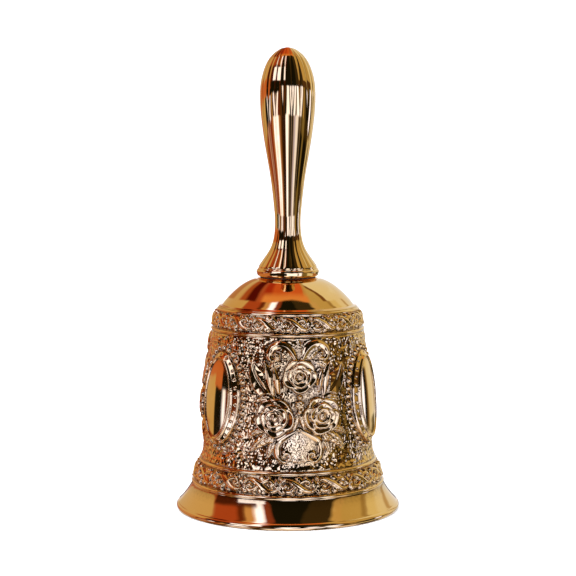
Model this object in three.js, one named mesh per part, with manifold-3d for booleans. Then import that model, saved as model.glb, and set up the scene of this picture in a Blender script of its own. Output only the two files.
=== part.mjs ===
// Sanctus bell: a cast, gilt hand bell on a fluted handle, with a clapper hung
// from a swivelling yoke. Millimetres, +Z up. The origin is on the bell's axis
// in the plane of the lip, so the bell stands on the XY plane.
import * as THREE from "three";
import { mergeVertices } from "three/addons/utils/BufferGeometryUtils.js";
import Module from "manifold-3d";

const wasm = await Module();
wasm.setup();

// ---- Shared dimensions --------------------------------------------------
// Names end in _R for a radius and in _X or _Z for a place on that axis.
const SHELL_SEGMENTS = 48;
const ROUND_SEGMENTS = 28; // small parts turned about Z
const PIVOT_SEGMENTS = 24; // parts turned about the pivot's axis

const CROWN_HOLE_R = 3.3; // clearance hole for the crown stud
const CROWN_TOP_Z = 81.75; // flat pad on the crown, outside
const CROWN_UNDER_Z = 79.4; // flat seat under the crown, inside
const SEAT_WASHER_T = 0.4;
const COLLAR_LOW_Z = CROWN_TOP_Z + SEAT_WASHER_T;
const COLLAR_TOP_Z = 85.25;

const STUD_R = 3.0; // M6
const STUD_TOP_Z = 94.4;
const STUD_LOW_Z = 68.6;
const STUD_CLOSE_BORE_R = STUD_R + 0.1; // handle and crown nut
const STUD_LOOSE_BORE_R = STUD_R + 0.2; // collar and crown washer

const CROWN_WASHER_LOW_Z = 78.2;
const NUT_TOP_Z = 76.6;
const NUT_LOW_Z = 71.6;

const PLATE_LOW_Z = 66.2; // base plate of the yoke
const PLATE_TOP_Z = 67.8;
const SWIVEL_SHOULDER_R = 2.0;
const PIVOT_Z = 59.4; // axis of the clapper's pivot pin
const PIVOT_PIN_R = 1.5;
const SLEEVE_BORE_R = PIVOT_PIN_R + 0.1; // spacers and bush on the pin
const SPACER_R = 2.9;
const EAR_INNER_X = 4.6;
const EAR_OUTER_X = 6.2;

const EYE_HALF_W = 3.0;
const EYE_R = 3.9;
const EYE_BORE_R = 2.4;
const ROD_R = 1.6;
const BALL_Z = 9.3;
const BALL_R = 6.9;
const BALL_FLAT_R = 2.4; // flat on top of the ball
const BALL_FLAT_ANGLE = Math.asin(BALL_FLAT_R / BALL_R); // from +Z to the flat's rim
const BALL_TOP_Z = BALL_Z + BALL_R * Math.cos(BALL_FLAT_ANGLE);

// ---- Materials ----------------------------------------------------------
const gilt = new THREE.MeshStandardMaterial({ color: 0xd8a441, roughness: 0.14, metalness: 1.0 });
const brass = new THREE.MeshStandardMaterial({ color: 0xb8924a, roughness: 0.3, metalness: 1.0 });
const steel = new THREE.MeshStandardMaterial({ color: 0x9a9a9c, roughness: 0.32, metalness: 1.0 });
const leather = new THREE.MeshStandardMaterial({ color: 0x4a2a18, roughness: 0.85, metalness: 0.0 });
const nylon = new THREE.MeshStandardMaterial({ color: 0xe6e0d2, roughness: 0.5, metalness: 0.0 });

// ---- Helpers ------------------------------------------------------------
// Turns a profile of [radius, height] pairs about Z. The profile starts and
// ends on the axis, or is closed on itself by repeating its first point.
function turned(profile, segments = ROUND_SEGMENTS) {
  const points = profile.map(([r, z]) => new THREE.Vector2(r, z));
  let area = 0;
  points.forEach((point, i) => {
    area += point.cross(points[(i + 1) % points.length]);
  });
  if (area < 0) points.reverse(); // so that the faces look outward
  return new THREE.LatheGeometry(points, segments).rotateX(Math.PI / 2);
}

// The same about the pivot's axis, its profile heights measured along X.
function turnedAboutPivot(profile) {
  return turned(profile, PIVOT_SEGMENTS).rotateY(Math.PI / 2).translate(0, 0, PIVOT_Z);
}

// Closed rectangular profile of a plain ring.
function ringProfile(innerR, outerR, start, end) {
  return [[innerR, start], [outerR, start], [outerR, end], [innerR, end], [innerR, start]];
}

// Multiplies each vertex's distance from Z by factorAt(x, y, index).
function scaleRadii(geometry, factorAt) {
  const position = geometry.getAttribute("position");
  for (let i = 0; i < position.count; i++) {
    const x = position.getX(i);
    const y = position.getY(i);
    const factor = factorAt(x, y, i);
    position.setXY(i, x * factor, y * factor);
  }
}

function toSolid(geometry) {
  const loose = geometry.index ? geometry.toNonIndexed() : geometry;
  const bare = new THREE.BufferGeometry()
    .setAttribute("position", loose.getAttribute("position"));
  const merged = mergeVertices(bare, 1e-3);
  return new wasm.Manifold(
    new wasm.Mesh({
      numProp: 3,
      vertProperties: merged.attributes.position.array,
      triVerts: new Uint32Array(merged.index.array),
    }),
  );
}

function toGeometry(solid) {
  const { numVert, numProp, vertProperties, triVerts } = solid.getMesh();
  const positions = new Float32Array(numVert * 3);
  for (let i = 0; i < numVert; i++)
    positions.set(vertProperties.subarray(i * numProp, i * numProp + 3), i * 3);
  const geometry = new THREE.BufferGeometry()
    .setAttribute("position", new THREE.BufferAttribute(positions, 3))
    .setIndex(new THREE.BufferAttribute(new Uint32Array(triVerts), 1));
  geometry.computeVertexNormals();
  return geometry;
}

// Solid cylinders for cutting holes: on the bell's axis, and on the pivot's.
function axisDrill(radius, length, z) {
  return toSolid(new THREE.CylinderGeometry(radius, radius, length, ROUND_SEGMENTS)
    .rotateX(Math.PI / 2).translate(0, 0, z));
}

function pivotDrill(radius, length) {
  return toSolid(new THREE.CylinderGeometry(radius, radius, length, PIVOT_SEGMENTS)
    .rotateZ(Math.PI / 2).translate(0, 0, PIVOT_Z));
}

function hexNut({ acrossFlats, boreR, lowZ, topZ }) {
  const cornerR = acrossFlats / Math.sqrt(3);
  const corners = [];
  for (let i = 0; i < 6; i++) {
    const angle = (i * Math.PI) / 3;
    corners.push(new THREE.Vector2(cornerR * Math.cos(angle), cornerR * Math.sin(angle)));
  }
  const hexagon = new THREE.Shape(corners);
  hexagon.holes.push(new THREE.Path().absarc(0, 0, boreR, 0, Math.PI * 2, true));
  const options = { depth: topZ - lowZ, bevelEnabled: false, curveSegments: 8 };
  return new THREE.ExtrudeGeometry(hexagon, options).translate(0, 0, lowZ);
}

// ---- Bell shell ---------------------------------------------------------
// [radius, z] outside, from the lip up: lip bead, flared skirt, lower band
// between two fillets, waist, upper band between two fillets, dome, crown pad.
const OUTSIDE = [
  [0, 0], [38.7, 0], [39.35, 0.45], [39.55, 1.4], [38.65, 2.5],
  [36.7, 4.6], [34.9, 7.5], [34.0, 9.1],
  [34.35, 9.9], [33.5, 10.8], [32.3, 14.4], [31.1, 16.9],
  [31.6, 17.9], [30.6, 18.9], [29.95, 21.0], [29.6, 26.0],
  [29.25, 36.0], [28.8, 44.0], [28.1, 52.5], [27.1, 60.5],
  [26.75, 63.2], [27.3, 64.2], [26.3, 65.3], [25.1, 69.6],
  [24.45, 70.8], [24.6, 71.5], [23.3, 72.6], [21.7, 74.5],
  [19.4, 76.8], [16.6, 79.0], [13.9, 80.6],
  [10.9, 81.5], [10.4, CROWN_TOP_Z], [0, CROWN_TOP_Z],
];
// [radius, z] inside, from the crown seat down and past the lip plane.
const INSIDE = [
  [0, CROWN_UNDER_Z], [9.3, CROWN_UNDER_Z], [14.0, 78.0],
  [18.0, 75.0], [21.3, 70.6], [23.7, 65.5], [25.6, 57.0],
  [26.8, 46.0], [27.5, 31.0], [28.1, 21.5],
  [30.0, 15.5], [32.4, 8.6], [35.0, 4.4],
  [37.0, 1.5], [37.4, -1.0], [0, -1.0],
];

// Raised ornaments. A profile is [share of half width, share of depth], from
// the crest to the foot. angle is from the panel's middle; lean tips the
// ornament about X to follow the wall; crestR is measured from the bell's axis.
const PANELS = 3; // flower panels, with an oval midway between each two
const LOBE_DEPTH = 0.09; // half the cut between two lobes, as a share of the radius
const LOBE_FREE_SHARE = 0.3; // nearer the middle than this, a blossom stays round
const OVAL = {
  profile: [[0, 0], [0.42, -0.05], [0.78, -0.22], [0.97, -0.45], [1.0, -0.55], [1.0, -1.0], [0, -1.0]],
  segments: 24, lobes: 0, angle: Math.PI / PANELS,
  z: 41.5, halfW: 6.1, halfH: 14.4, crestR: 30.3, depth: 2.9, lean: -0.055,
};
const BLOSSOM = {
  profile: [
    [0, 0], [0.22, -0.06], [0.34, -0.24], [0.72, -0.2],
    [0.96, -0.44], [1.0, -0.6], [1.0, -1.0], [0, -1.0],
  ],
  segments: 15, lobes: 5,
};
const UPPER_BLOSSOM = {
  ...BLOSSOM, angle: 0,
  z: 51.0, halfW: 6.3, halfH: 5.3, crestR: 29.7, depth: 3.0, lean: -0.11,
};
const LOWER_BLOSSOM = {
  ...BLOSSOM,
  z: 37.4, halfW: 6.5, halfH: 6.6, crestR: 30.6, depth: 3.1, lean: -0.04,
};
const ORNAMENTS = [
  OVAL,
  UPPER_BLOSSOM,
  { ...LOWER_BLOSSOM, angle: -0.262 },
  { ...LOWER_BLOSSOM, angle: 0.262 },
];

// One ornament, its foot bedded in the wall.
function boss(ornament, panelAngle) {
  const { profile, segments, lobes, angle, z, halfW, halfH, crestR, depth, lean } = ornament;
  const cap = turned(profile, segments);
  scaleRadii(cap, (x, y) => {
    if (Math.hypot(x, y) < LOBE_FREE_SHARE) return 1;
    return 1 - LOBE_DEPTH * (1 - Math.cos(lobes * Math.atan2(y, x)));
  });
  cap.scale(halfW, halfH, depth); // the cap's own Z is its outward direction
  cap.rotateX(Math.PI / 2); // outward is now -Y, and its height is along Z
  cap.rotateX(lean);
  cap.translate(0, -crestR, z);
  cap.rotateZ(panelAngle + angle);
  return toSolid(cap);
}

function bellShell() {
  let shell = toSolid(turned(OUTSIDE, SHELL_SEGMENTS));
  for (let i = 0; i < PANELS; i++) {
    const panelAngle = (i * 2 * Math.PI) / PANELS;
    for (const ornament of ORNAMENTS) shell = shell.add(boss(ornament, panelAngle));
  }
  shell = shell.subtract(toSolid(turned(INSIDE, SHELL_SEGMENTS)));
  return toGeometry(shell.subtract(axisDrill(CROWN_HOLE_R, 8, 80.5)));
}

// ---- Handle -------------------------------------------------------------
const RIBS = 20; // reeds round the handle
const COLUMNS_PER_RIB = 3; // one in the valley, two on the reed
const RIB_DEPTH = 0.055; // valley depth, as a share of the local radius

// [radius, z] from the rounded top, down the swell to the neck and flared foot.
const GRIP = [
  [0, 162.3], [2.6, 161.6], [4.4, 160.5], [5.9, 159.0], [7.25, 157.0],
  [8.9, 152.7], [9.7, 148.0], [9.8, 143.5], [9.3, 136.5],
  [8.2, 129.0], [6.9, 121.5], [5.6, 113.5], [4.9, 106.5],
  [4.6, 101.0], [4.75, 97.5], [5.35, 94.2], [6.5, 91.4], [8.2, 88.8],
  [9.8, 86.5], [10.45, COLLAR_TOP_Z],
];
// Blind hole up the foot for the stud.
const GRIP_BORE = [[STUD_CLOSE_BORE_R, COLLAR_TOP_Z], [STUD_CLOSE_BORE_R, 95.2], [0, 96.4]];
const COLLAR = [
  [STUD_LOOSE_BORE_R, COLLAR_LOW_Z], [9.9, COLLAR_LOW_Z], [10.75, 82.5], [11.1, 83.2],
  [11.1, 84.2], [10.8, 84.95], [10.5, COLLAR_TOP_Z], [STUD_LOOSE_BORE_R, COLLAR_TOP_Z],
  [STUD_LOOSE_BORE_R, COLLAR_LOW_Z],
];

function handleGrip() {
  const grip = turned([...GRIP, ...GRIP_BORE], RIBS * COLUMNS_PER_RIB);
  // Each column of vertices runs from the bore up to the top of the grip.
  const columnLength = GRIP.length + GRIP_BORE.length;
  scaleRadii(grip, (x, y, index) => {
    const onBore = index % columnLength < GRIP_BORE.length;
    const inValley = Math.floor(index / columnLength) % COLUMNS_PER_RIB === 0;
    return inValley && !onBore ? 1 - RIB_DEPTH : 1;
  });
  return grip;
}

// ---- Fixings under the crown --------------------------------------------
const TAP_R = 1.45; // hole up the stud for the swivel screw
const TAP_TOP_Z = 76.5;
const STUD = [
  [0, STUD_TOP_Z], [2.5, STUD_TOP_Z], [STUD_R, STUD_TOP_Z - 0.5], [STUD_R, STUD_LOW_Z + 0.5],
  [2.5, STUD_LOW_Z], [TAP_R, STUD_LOW_Z], [TAP_R, TAP_TOP_Z], [0, TAP_TOP_Z + 0.8],
];

// Split ring with a slanting gap on its +X side.
function springWasher() {
  const ring = toSolid(turned(ringProfile(3.15, 5.6, NUT_TOP_Z, CROWN_WASHER_LOW_Z)));
  const gap = toSolid(new THREE.BoxGeometry(4, 0.7, 4).rotateX(0.5).translate(4.4, 0, 77.4));
  return toGeometry(ring.subtract(gap));
}

// ---- Swivel -------------------------------------------------------------
// Shoulder screw: its thread goes up the stud, and its shoulder carries the yoke.
function swivelScrew() {
  const headR = 3.3;
  const headTopZ = PLATE_LOW_Z - 0.1;
  const headLowZ = headTopZ - 2.0;
  const threadR = 1.35;
  const screw = toSolid(turned([
    [0, headLowZ], [2.9, headLowZ], [headR, headTopZ - 1.6], [headR, headTopZ],
    [SWIVEL_SHOULDER_R, headTopZ], [SWIVEL_SHOULDER_R, STUD_LOW_Z],
    [threadR, STUD_LOW_Z], [threadR, 75.0], [1.0, 75.6], [0, 75.6],
  ]));
  const slot = toSolid(new THREE.BoxGeometry(8, 0.8, 1.6).translate(0, 0, headLowZ));
  return toGeometry(screw.subtract(slot));
}

// ---- Yoke and pivot -----------------------------------------------------
// A strap bent to a U, with rounded ear ends.
function clapperYoke() {
  const halfW = 3.5; // of the strap, along Y
  const earLowZ = PIVOT_Z - halfW;
  // [x, z] of the +X half, from under the plate, round the ear, to the top
  const rightSide = [
    [EAR_INNER_X - 0.6, PLATE_LOW_Z], [EAR_INNER_X, PLATE_LOW_Z - 0.6],
    [EAR_INNER_X, earLowZ], [EAR_OUTER_X, earLowZ],
    [EAR_OUTER_X, PLATE_TOP_Z - 1.4], [EAR_OUTER_X - 0.5, PLATE_TOP_Z - 0.4],
    [EAR_OUTER_X - 1.4, PLATE_TOP_Z],
  ];
  const leftSide = rightSide.map(([x, z]) => [-x, z]).reverse();
  const outline = [...rightSide, ...leftSide].map(([x, z]) => new THREE.Vector2(x, z));
  const strap = new THREE.ExtrudeGeometry(
    new THREE.Shape(outline), { depth: 2 * halfW, bevelEnabled: false },
  ).rotateX(Math.PI / 2).translate(0, halfW, 0);

  // Round the ears: keep what lies inside a round-ended outline seen along X
  const topZ = 70; // clear above the plate
  const length = 20;
  const keep = new THREE.Shape();
  keep.moveTo(-halfW, topZ);
  keep.lineTo(-halfW, PIVOT_Z);
  keep.absarc(0, PIVOT_Z, halfW, Math.PI, 2 * Math.PI, false);
  keep.lineTo(halfW, topZ);
  keep.closePath();
  const envelope = new THREE.ExtrudeGeometry(
    keep, { depth: length, bevelEnabled: false, curveSegments: 10 },
  ).rotateX(Math.PI / 2).rotateZ(Math.PI / 2).translate(-length / 2, 0, 0);

  return toGeometry(
    toSolid(strap)
      .intersect(toSolid(envelope))
      .subtract(pivotDrill(PIVOT_PIN_R + 0.05, 20))
      .subtract(axisDrill(SWIVEL_SHOULDER_R + 0.08, 6, PLATE_TOP_Z)),
  );
}

// [radius, x] from the head at the -X end, past the clip's groove, to the tip.
const PIN_HEAD_R = 2.5;
const PIN_HEAD_INNER_X = -EAR_OUTER_X - 0.05;
const GROOVE_R = 1.1;
const GROOVE_START_X = EAR_OUTER_X + 0.1;
const GROOVE_END_X = EAR_OUTER_X + 0.9;
const PIVOT_PIN = [
  [0, -7.5], [1.7, -7.5], [PIN_HEAD_R, -6.9], [PIN_HEAD_R, PIN_HEAD_INNER_X],
  [PIVOT_PIN_R, PIN_HEAD_INNER_X], [PIVOT_PIN_R, GROOVE_START_X],
  [GROOVE_R, GROOVE_START_X], [GROOVE_R, GROOVE_END_X],
  [PIVOT_PIN_R, GROOVE_END_X], [PIVOT_PIN_R, 7.7], [1.2, 8.0], [0, 8.0],
];

// Snap ring in the pin's groove, open at the bottom.
function pinClip() {
  const ring = toSolid(turnedAboutPivot(
    ringProfile(GROOVE_R + 0.05, 2.9, EAR_OUTER_X + 0.15, EAR_OUTER_X + 0.85),
  ));
  const mouth = toSolid(
    new THREE.BoxGeometry(3, 1.9, 4).translate(EAR_OUTER_X + 0.5, 0, PIVOT_Z - 2.0),
  );
  return toGeometry(ring.subtract(mouth));
}

// Ring on the pin between an ear and the clapper's eye; side is -1 or 1.
function spacer(side) {
  return turnedAboutPivot(ringProfile(
    SLEEVE_BORE_R, SPACER_R, side * (EYE_HALF_W + 0.15), side * (EAR_INNER_X - 0.05),
  ));
}

// ---- Clapper ------------------------------------------------------------
function eyeBush() {
  const halfLength = EYE_HALF_W + 0.05;
  return turnedAboutPivot(
    ringProfile(SLEEVE_BORE_R, EYE_BORE_R - 0.05, -halfLength, halfLength),
  );
}

// Rod with a drum-shaped eye at its top.
function clapperRod() {
  const rod = toSolid(turned([
    [0, BALL_Z - 3.6], [1.2, BALL_Z - 3.6], [ROD_R, BALL_Z - 3.2], [ROD_R, 54.0],
    [2.1, 55.6], [2.6, 57.2], [2.6, 58.4], [0, 58.4],
  ], 16));
  const chamfer = 0.4;
  const drum = toSolid(turnedAboutPivot([
    [0, -EYE_HALF_W], [EYE_R - chamfer, -EYE_HALF_W], [EYE_R, -EYE_HALF_W + chamfer],
    [EYE_R, EYE_HALF_W - chamfer], [EYE_R - chamfer, EYE_HALF_W], [0, EYE_HALF_W],
  ]));
  return toGeometry(rod.add(drum).subtract(pivotDrill(EYE_BORE_R, 12)));
}

// Ball with a blind hole from above for the rod.
function clapperBall() {
  const boreR = ROD_R + 0.05;
  const boreLowZ = BALL_Z - 3.8;
  const profile = [[0, boreLowZ], [boreR, boreLowZ], [boreR, BALL_TOP_Z]];
  const steps = 11;
  for (let i = 0; i < steps; i++) {
    const angle = BALL_FLAT_ANGLE + ((Math.PI - BALL_FLAT_ANGLE) * i) / steps;
    profile.push([BALL_R * Math.sin(angle), BALL_Z + BALL_R * Math.cos(angle)]);
  }
  profile.push([0, BALL_Z - BALL_R]);
  return turned(profile, 24);
}

// ---- Assembly -----------------------------------------------------------
const root = new THREE.Group();
root.name = "sanctus_bell";

function add(name, geometry, material, parent = root) {
  const mesh = new THREE.Mesh(geometry, material);
  mesh.name = name;
  parent.add(mesh);
}

add("bell_shell", bellShell(), gilt);
add("handle_grip", handleGrip(), gilt);
add("handle_collar", turned(COLLAR, 40), gilt);
add("seat_washer", turned(ringProfile(CROWN_HOLE_R, 9.7, CROWN_TOP_Z, COLLAR_LOW_Z), 32), leather);

add("crown_stud", turned(STUD), steel);
add(
  "crown_washer",
  turned(ringProfile(STUD_LOOSE_BORE_R, 9.0, CROWN_WASHER_LOW_Z, CROWN_UNDER_Z)),
  steel,
);
add("spring_washer", springWasher(), steel);
add(
  "crown_nut",
  hexNut({ acrossFlats: 10, boreR: STUD_CLOSE_BORE_R, lowZ: NUT_LOW_Z, topZ: NUT_TOP_Z }),
  steel,
);

add("swivel_washer", turned(ringProfile(2.15, 5.2, PLATE_TOP_Z + 0.05, STUD_LOW_Z)), nylon);
add("swivel_screw", swivelScrew(), steel);

// The yoke and its pin turn about Z on the swivel screw.
const yokeBody = new THREE.Group();
root.add(yokeBody);
add("clapper_yoke", clapperYoke(), brass, yokeBody);
add("pivot_pin", turnedAboutPivot(PIVOT_PIN), steel, yokeBody);
add("pin_clip", pinClip(), steel, yokeBody);
add("spacer_left", spacer(-1), brass, yokeBody);
add("spacer_right", spacer(1), brass, yokeBody);

// The clapper swings about X on the pivot pin.
const clapperBody = new THREE.Group();
root.add(clapperBody);
add("eye_bush", eyeBush(), nylon, clapperBody);
add("clapper_rod", clapperRod(), brass, clapperBody);
add("clapper_ball", clapperBall(), brass, clapperBody);
add(
  "clapper_nut",
  hexNut({ acrossFlats: 6.4, boreR: ROD_R + 0.08, lowZ: BALL_TOP_Z, topZ: BALL_TOP_Z + 2.6 }),
  steel, clapperBody,
);

export default root;
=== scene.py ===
"""Looks for the sanctus bell: a gilt altar hand bell with relief panels, a reeded
grip and a clapper on a swivelling yoke.

The bell stands on its lip at Z = 0 with its axis on Z, and one flower panel faces -Y.
Turns about Z start at -Y and run towards +X. The clapper's cross pin lies along X.
Lengths are in millimetres, apart from the lights and camera, which are in metres;
meshes are made in metres."""

import math

import bpy
import numpy as np
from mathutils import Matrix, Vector


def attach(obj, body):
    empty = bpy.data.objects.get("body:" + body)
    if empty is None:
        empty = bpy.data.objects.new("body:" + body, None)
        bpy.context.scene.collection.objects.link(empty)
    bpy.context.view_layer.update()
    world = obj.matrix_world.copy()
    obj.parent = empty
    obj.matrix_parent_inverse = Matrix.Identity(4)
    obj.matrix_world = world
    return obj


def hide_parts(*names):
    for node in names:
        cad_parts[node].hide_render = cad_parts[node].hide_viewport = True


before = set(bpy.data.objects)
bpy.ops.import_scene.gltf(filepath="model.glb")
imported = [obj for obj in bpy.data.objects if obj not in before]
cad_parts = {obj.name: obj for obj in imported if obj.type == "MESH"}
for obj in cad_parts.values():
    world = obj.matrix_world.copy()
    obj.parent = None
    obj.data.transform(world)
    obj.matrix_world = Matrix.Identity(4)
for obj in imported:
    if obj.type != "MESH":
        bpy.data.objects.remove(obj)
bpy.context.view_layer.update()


# ---- Curves and relief --------------------------------------------------
def ease(x):
    """A smooth step from 0 to 1."""
    x = np.clip(x, 0.0, 1.0)
    return x * x * (3 - 2 * x)


def dome(x):
    """1 at the middle, 0 at |x| = 1, with a round top and steep foot."""
    return np.sqrt(np.clip(1 - x * x, 0.0, 1.0))


def curve(control, count):
    """A smooth line through the control points (Catmull-Rom), count points long."""
    points = np.asarray(control, float)
    padded = np.vstack([2 * points[0] - points[1], points, 2 * points[-1] - points[-2]])
    place = np.linspace(0, len(points) - 1, count)
    first = np.minimum(place.astype(int), len(points) - 2)
    part = (place - first)[:, None]
    before, start, end, after = (padded[first + k] for k in range(4))
    return 0.5 * (2 * start + (end - before) * part
                  + (2 * before - 5 * start + 4 * end - after) * part * part
                  + (3 * start - before - 3 * end + after) * part ** 3)


def arc(x, z, radius, start, end, steps):
    """Points of an arc about (x, z), between two angles in degrees."""
    angles = [math.radians(start + (end - start) * k / steps) for k in range(steps + 1)]
    return [(x + radius * math.cos(angle), z + radius * math.sin(angle)) for angle in angles]


def mirrored(points, side, dx=0.0, dz=0.0):
    """Points flipped to the side (-1 or 1), then shifted."""
    return [(side * x + dx, z + dz) for x, z in points]


def span_of(hits):
    """The slice from the first hit to the last, empty if there is none."""
    index = np.flatnonzero(hits)
    return slice(index[0], index[-1] + 1) if len(index) else slice(0)


class Relief:
    """A height field on a patch of the wall. `around` runs round the wall, `up` is the
    height, `rise` is how far the metal stands off the plain turned wall, and `cover`
    marks where ornament lies. Widths given to its shapes are half widths."""

    def __init__(self, around, up):
        self.around = around
        self.up = np.broadcast_to(up[:, None], around.shape)
        self.rise = np.zeros(around.shape)
        self.cover = np.zeros(around.shape, bool)

    def window(self, x0, x1, y0, y1):
        """The rows and columns that hold a box."""
        row_up = self.up[:, 0]
        rows = span_of((row_up >= y0) & (row_up <= y1))
        part = self.around[rows]
        return rows, span_of(((part >= x0) & (part <= x1)).any(axis=0))

    def square(self, x, y, reach):
        """The window round (x, y), and its points measured from there."""
        area = self.window(x - reach, x + reach, y - reach, y + reach)
        return area, self.around[area] - x, self.up[area] - y

    def near(self, line, pad):
        """The window round a line, the distance of its points from the line, and the
        place of the nearest point along it, 0 to 1."""
        low, high = line.min(axis=0) - pad, line.max(axis=0) + pad
        area = self.window(low[0], high[0], low[1], high[1])
        around, up = self.around[area], self.up[area]
        steps = np.diff(line, axis=0)
        lengths = np.hypot(steps[:, 0], steps[:, 1])
        start = np.r_[0, np.cumsum(lengths)]
        nearest = np.full(around.shape, 1e9)
        place = np.zeros(around.shape)
        for i, length in enumerate(lengths):
            off_x, off_y = around - line[i, 0], up - line[i, 1]
            step_x, step_y = steps[i] / length
            along = np.clip(off_x * step_x + off_y * step_y, 0, length)
            squared = (off_x - along * step_x) ** 2 + (off_y - along * step_y) ** 2
            hit = squared < nearest
            nearest = np.where(hit, squared, nearest)
            place = np.where(hit, (start[i] + along) / start[-1], place)
        return area, np.sqrt(nearest), place

    def put(self, area, rise, inside, over=True):
        """Lays a shape over what is there, or else only where it stands higher."""
        old, cover = self.rise[area], self.cover[area]
        hit = inside if over else inside & ((rise > old) | ~cover)
        self.rise[area] = np.where(hit, rise, old)
        self.cover[area] = cover | inside

    def cord(self, control, width, height, taper, base=0.0, over=False, count=34, roof=False):
        """A strand along a line: round, or ridged like a roof."""
        area, distance, place = self.near(curve(control, count), width * 1.6)
        local = np.interp(place, np.linspace(0, 1, len(taper)), taper) * width
        x = distance / np.maximum(local, 1e-4)
        inside = x < 1
        x = np.minimum(x, 1)
        if roof:
            top = (1 - np.sqrt(x * x + 0.03) + 0.17) * ease((1 - x) * 6 + 0.35)
        else:
            top = dome(x) ** 0.9
        self.put(area, base + height * (local / width) ** 0.6 * top, inside, over)

    def leaf(self, control, width, height, base, veins, serrate=0.0, lobes=6, fold=0.35,
             ramp=0.0):
        """A leaf along its midrib. fold sinks the midrib, ramp lifts the root."""
        area, distance, place = self.near(curve(control, 26), width * 1.5)
        local = width * np.sin(np.pi * np.clip(place, 0, 1) ** 0.72) ** 0.8
        local = local * (1 - serrate * ((place * lobes) % 1.0) ** 1.2)
        x = distance / np.maximum(local, 1e-4)
        inside = (x < 1) & (local > 0.05)
        x = np.minimum(x, 1)
        rise = base + height * (1 - x ** 2.2) * (0.55 + 0.45 * np.sin(np.pi * place))
        rise = rise - fold * height * np.exp(-(distance / (0.16 + 0.05 * width)) ** 2)
        if veins:
            wave = np.cos(2 * np.pi * (place * veins + 0.55 * x))
            rise = rise + 0.13 * height * wave * ease(x * 2.2) * ease((1 - x) * 5)
        self.put(area, rise + ramp * (1 - place), inside)

    def leaves(self, rows, **shape):
        """Leaves from rows of midrib, half width, height and base."""
        for control, width, height, base in rows:
            self.leaf(control, width, height, base, **shape)

    def pearl(self, x, y, radius, height, base=0.0, over=True):
        area, off_x, off_y = self.square(x, y, radius * 1.1)
        out = np.hypot(off_x, off_y) / radius
        self.put(area, base + height * dome(np.minimum(out, 1)), out < 1, over)

    def cup(self, x, y, long, wide, angle, base, rise):
        """A hollow petal with a thick rolled edge: low in the middle, rising to its rim.
        long and wide are half sizes along and across the angle (radians)."""
        area, off_x, off_y = self.square(x, y, max(long, wide) * 1.1)
        cosine, sine = math.cos(angle), math.sin(angle)
        along = (off_x * cosine + off_y * sine) / long
        across = (-off_x * sine + off_y * cosine) / wide
        turn = np.arctan2(across, along)
        # a slight wave round the edge
        wave = 1 + 0.05 * np.sin(3 * turn + 2.1 * x) + 0.03 * np.sin(4 * turn + y)
        out = np.hypot(along, across) / wave
        inside = out < 1
        out = np.minimum(out, 1)
        height = base + rise * (np.sqrt(out ** 2 + 0.02) - 0.14) + 0.06 * along
        height = height - 0.55 * (1 - dome(np.clip((out - 0.8) / 0.2, 0, 1)))
        self.put(area, height, inside)

    def rose(self, x, y, radius, turn, hand, base):
        """An open rose: rings of hollow petals, each lapping the last, round a tight bud.
        turn is in degrees, and hand (-1 or 1) is the way the petals follow round."""
        # petals, twist, then distance out, half length and breadth over the radius; base, rise
        for count, twist, out, long, wide, foot, rise in (
                (5, 0, 0.50, 0.50, 0.60, 0.6 * base - 0.05, 1.25),
                (4, 48, 0.27, 0.42, 0.47, base + 0.2, 1.05),
                (3, -25, 0.12, 0.30, 0.33, base + 0.55, 0.8)):
            for k in range(count):
                angle = math.radians(turn + twist + hand * k * 360.0 / count)
                self.cup(x + out * radius * math.cos(angle), y + out * radius * math.sin(angle),
                         long * radius, wide * radius, angle, foot + 0.02 * k, rise)
        self.rosebud(x, y, 0.23 * radius, base + 1.35, turn + 70)

    def rosebud(self, x, y, radius, height, turn):
        """The tight middle of a blossom: petals wound round each other."""
        area, off_x, off_y = self.square(x, y, radius)
        out = np.hypot(off_x, off_y) / radius
        angle = np.arctan2(off_y, off_x) - math.radians(turn)
        wind = (out * 2.3 - angle / (2 * np.pi)) % 1.0
        rise = height * (1 - 0.42 * out ** 1.6)
        rise = rise + 0.34 * (ease(wind / 0.75) - ease((wind - 0.8) / 0.2)) - 0.12
        self.put(area, rise, out < 1)


def stipple(around, up, period, rng, pitch, height):
    """A pebbled ground: rounded grains of uneven size, close together. `up` is a column,
    and `period` is the girth at each row."""
    rows = int(round((up.max() - up.min()) / pitch))
    cols = int(round(period.mean() / pitch))
    grid = (rows + 3, cols)
    shift = rng.uniform(-0.3, 0.3, (*grid, 2))
    size = rng.uniform(0.46, 0.72, grid) * pitch
    tall = rng.uniform(0.6, 1.15, grid) * height
    long = rng.uniform(0.72, 1.3, grid)
    lean = rng.uniform(0, np.pi, grid)
    period = period[:, None]
    grid_y = (up - up.min()) / pitch
    grid_x = (around / period) * cols
    out = np.zeros(around.shape)
    for a in (-1, 0, 1):
        for b in (-1, 0, 1):
            row = np.floor(grid_y).astype(int) + a
            col = np.floor(grid_x).astype(int) + b
            grain = (np.clip(row + 1, 0, rows + 2), col % cols)
            middle_x = col + 0.5 + shift[grain][..., 0] + 0.5 * (row % 2) - 0.25
            x = (grid_x - middle_x) * (period / cols)
            y = (grid_y - (row + 0.5 + shift[grain][..., 1])) * pitch
            cosine, sine = np.cos(lean[grain]), np.sin(lean[grain])
            along = (x * cosine + y * sine) * long[grain]
            across = (y * cosine - x * sine) / long[grain]
            distance = np.hypot(along, across) / size[grain]
            out = np.maximum(out, tall[grain] * (1 - np.minimum(distance, 1) ** 2))
    return out


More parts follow.
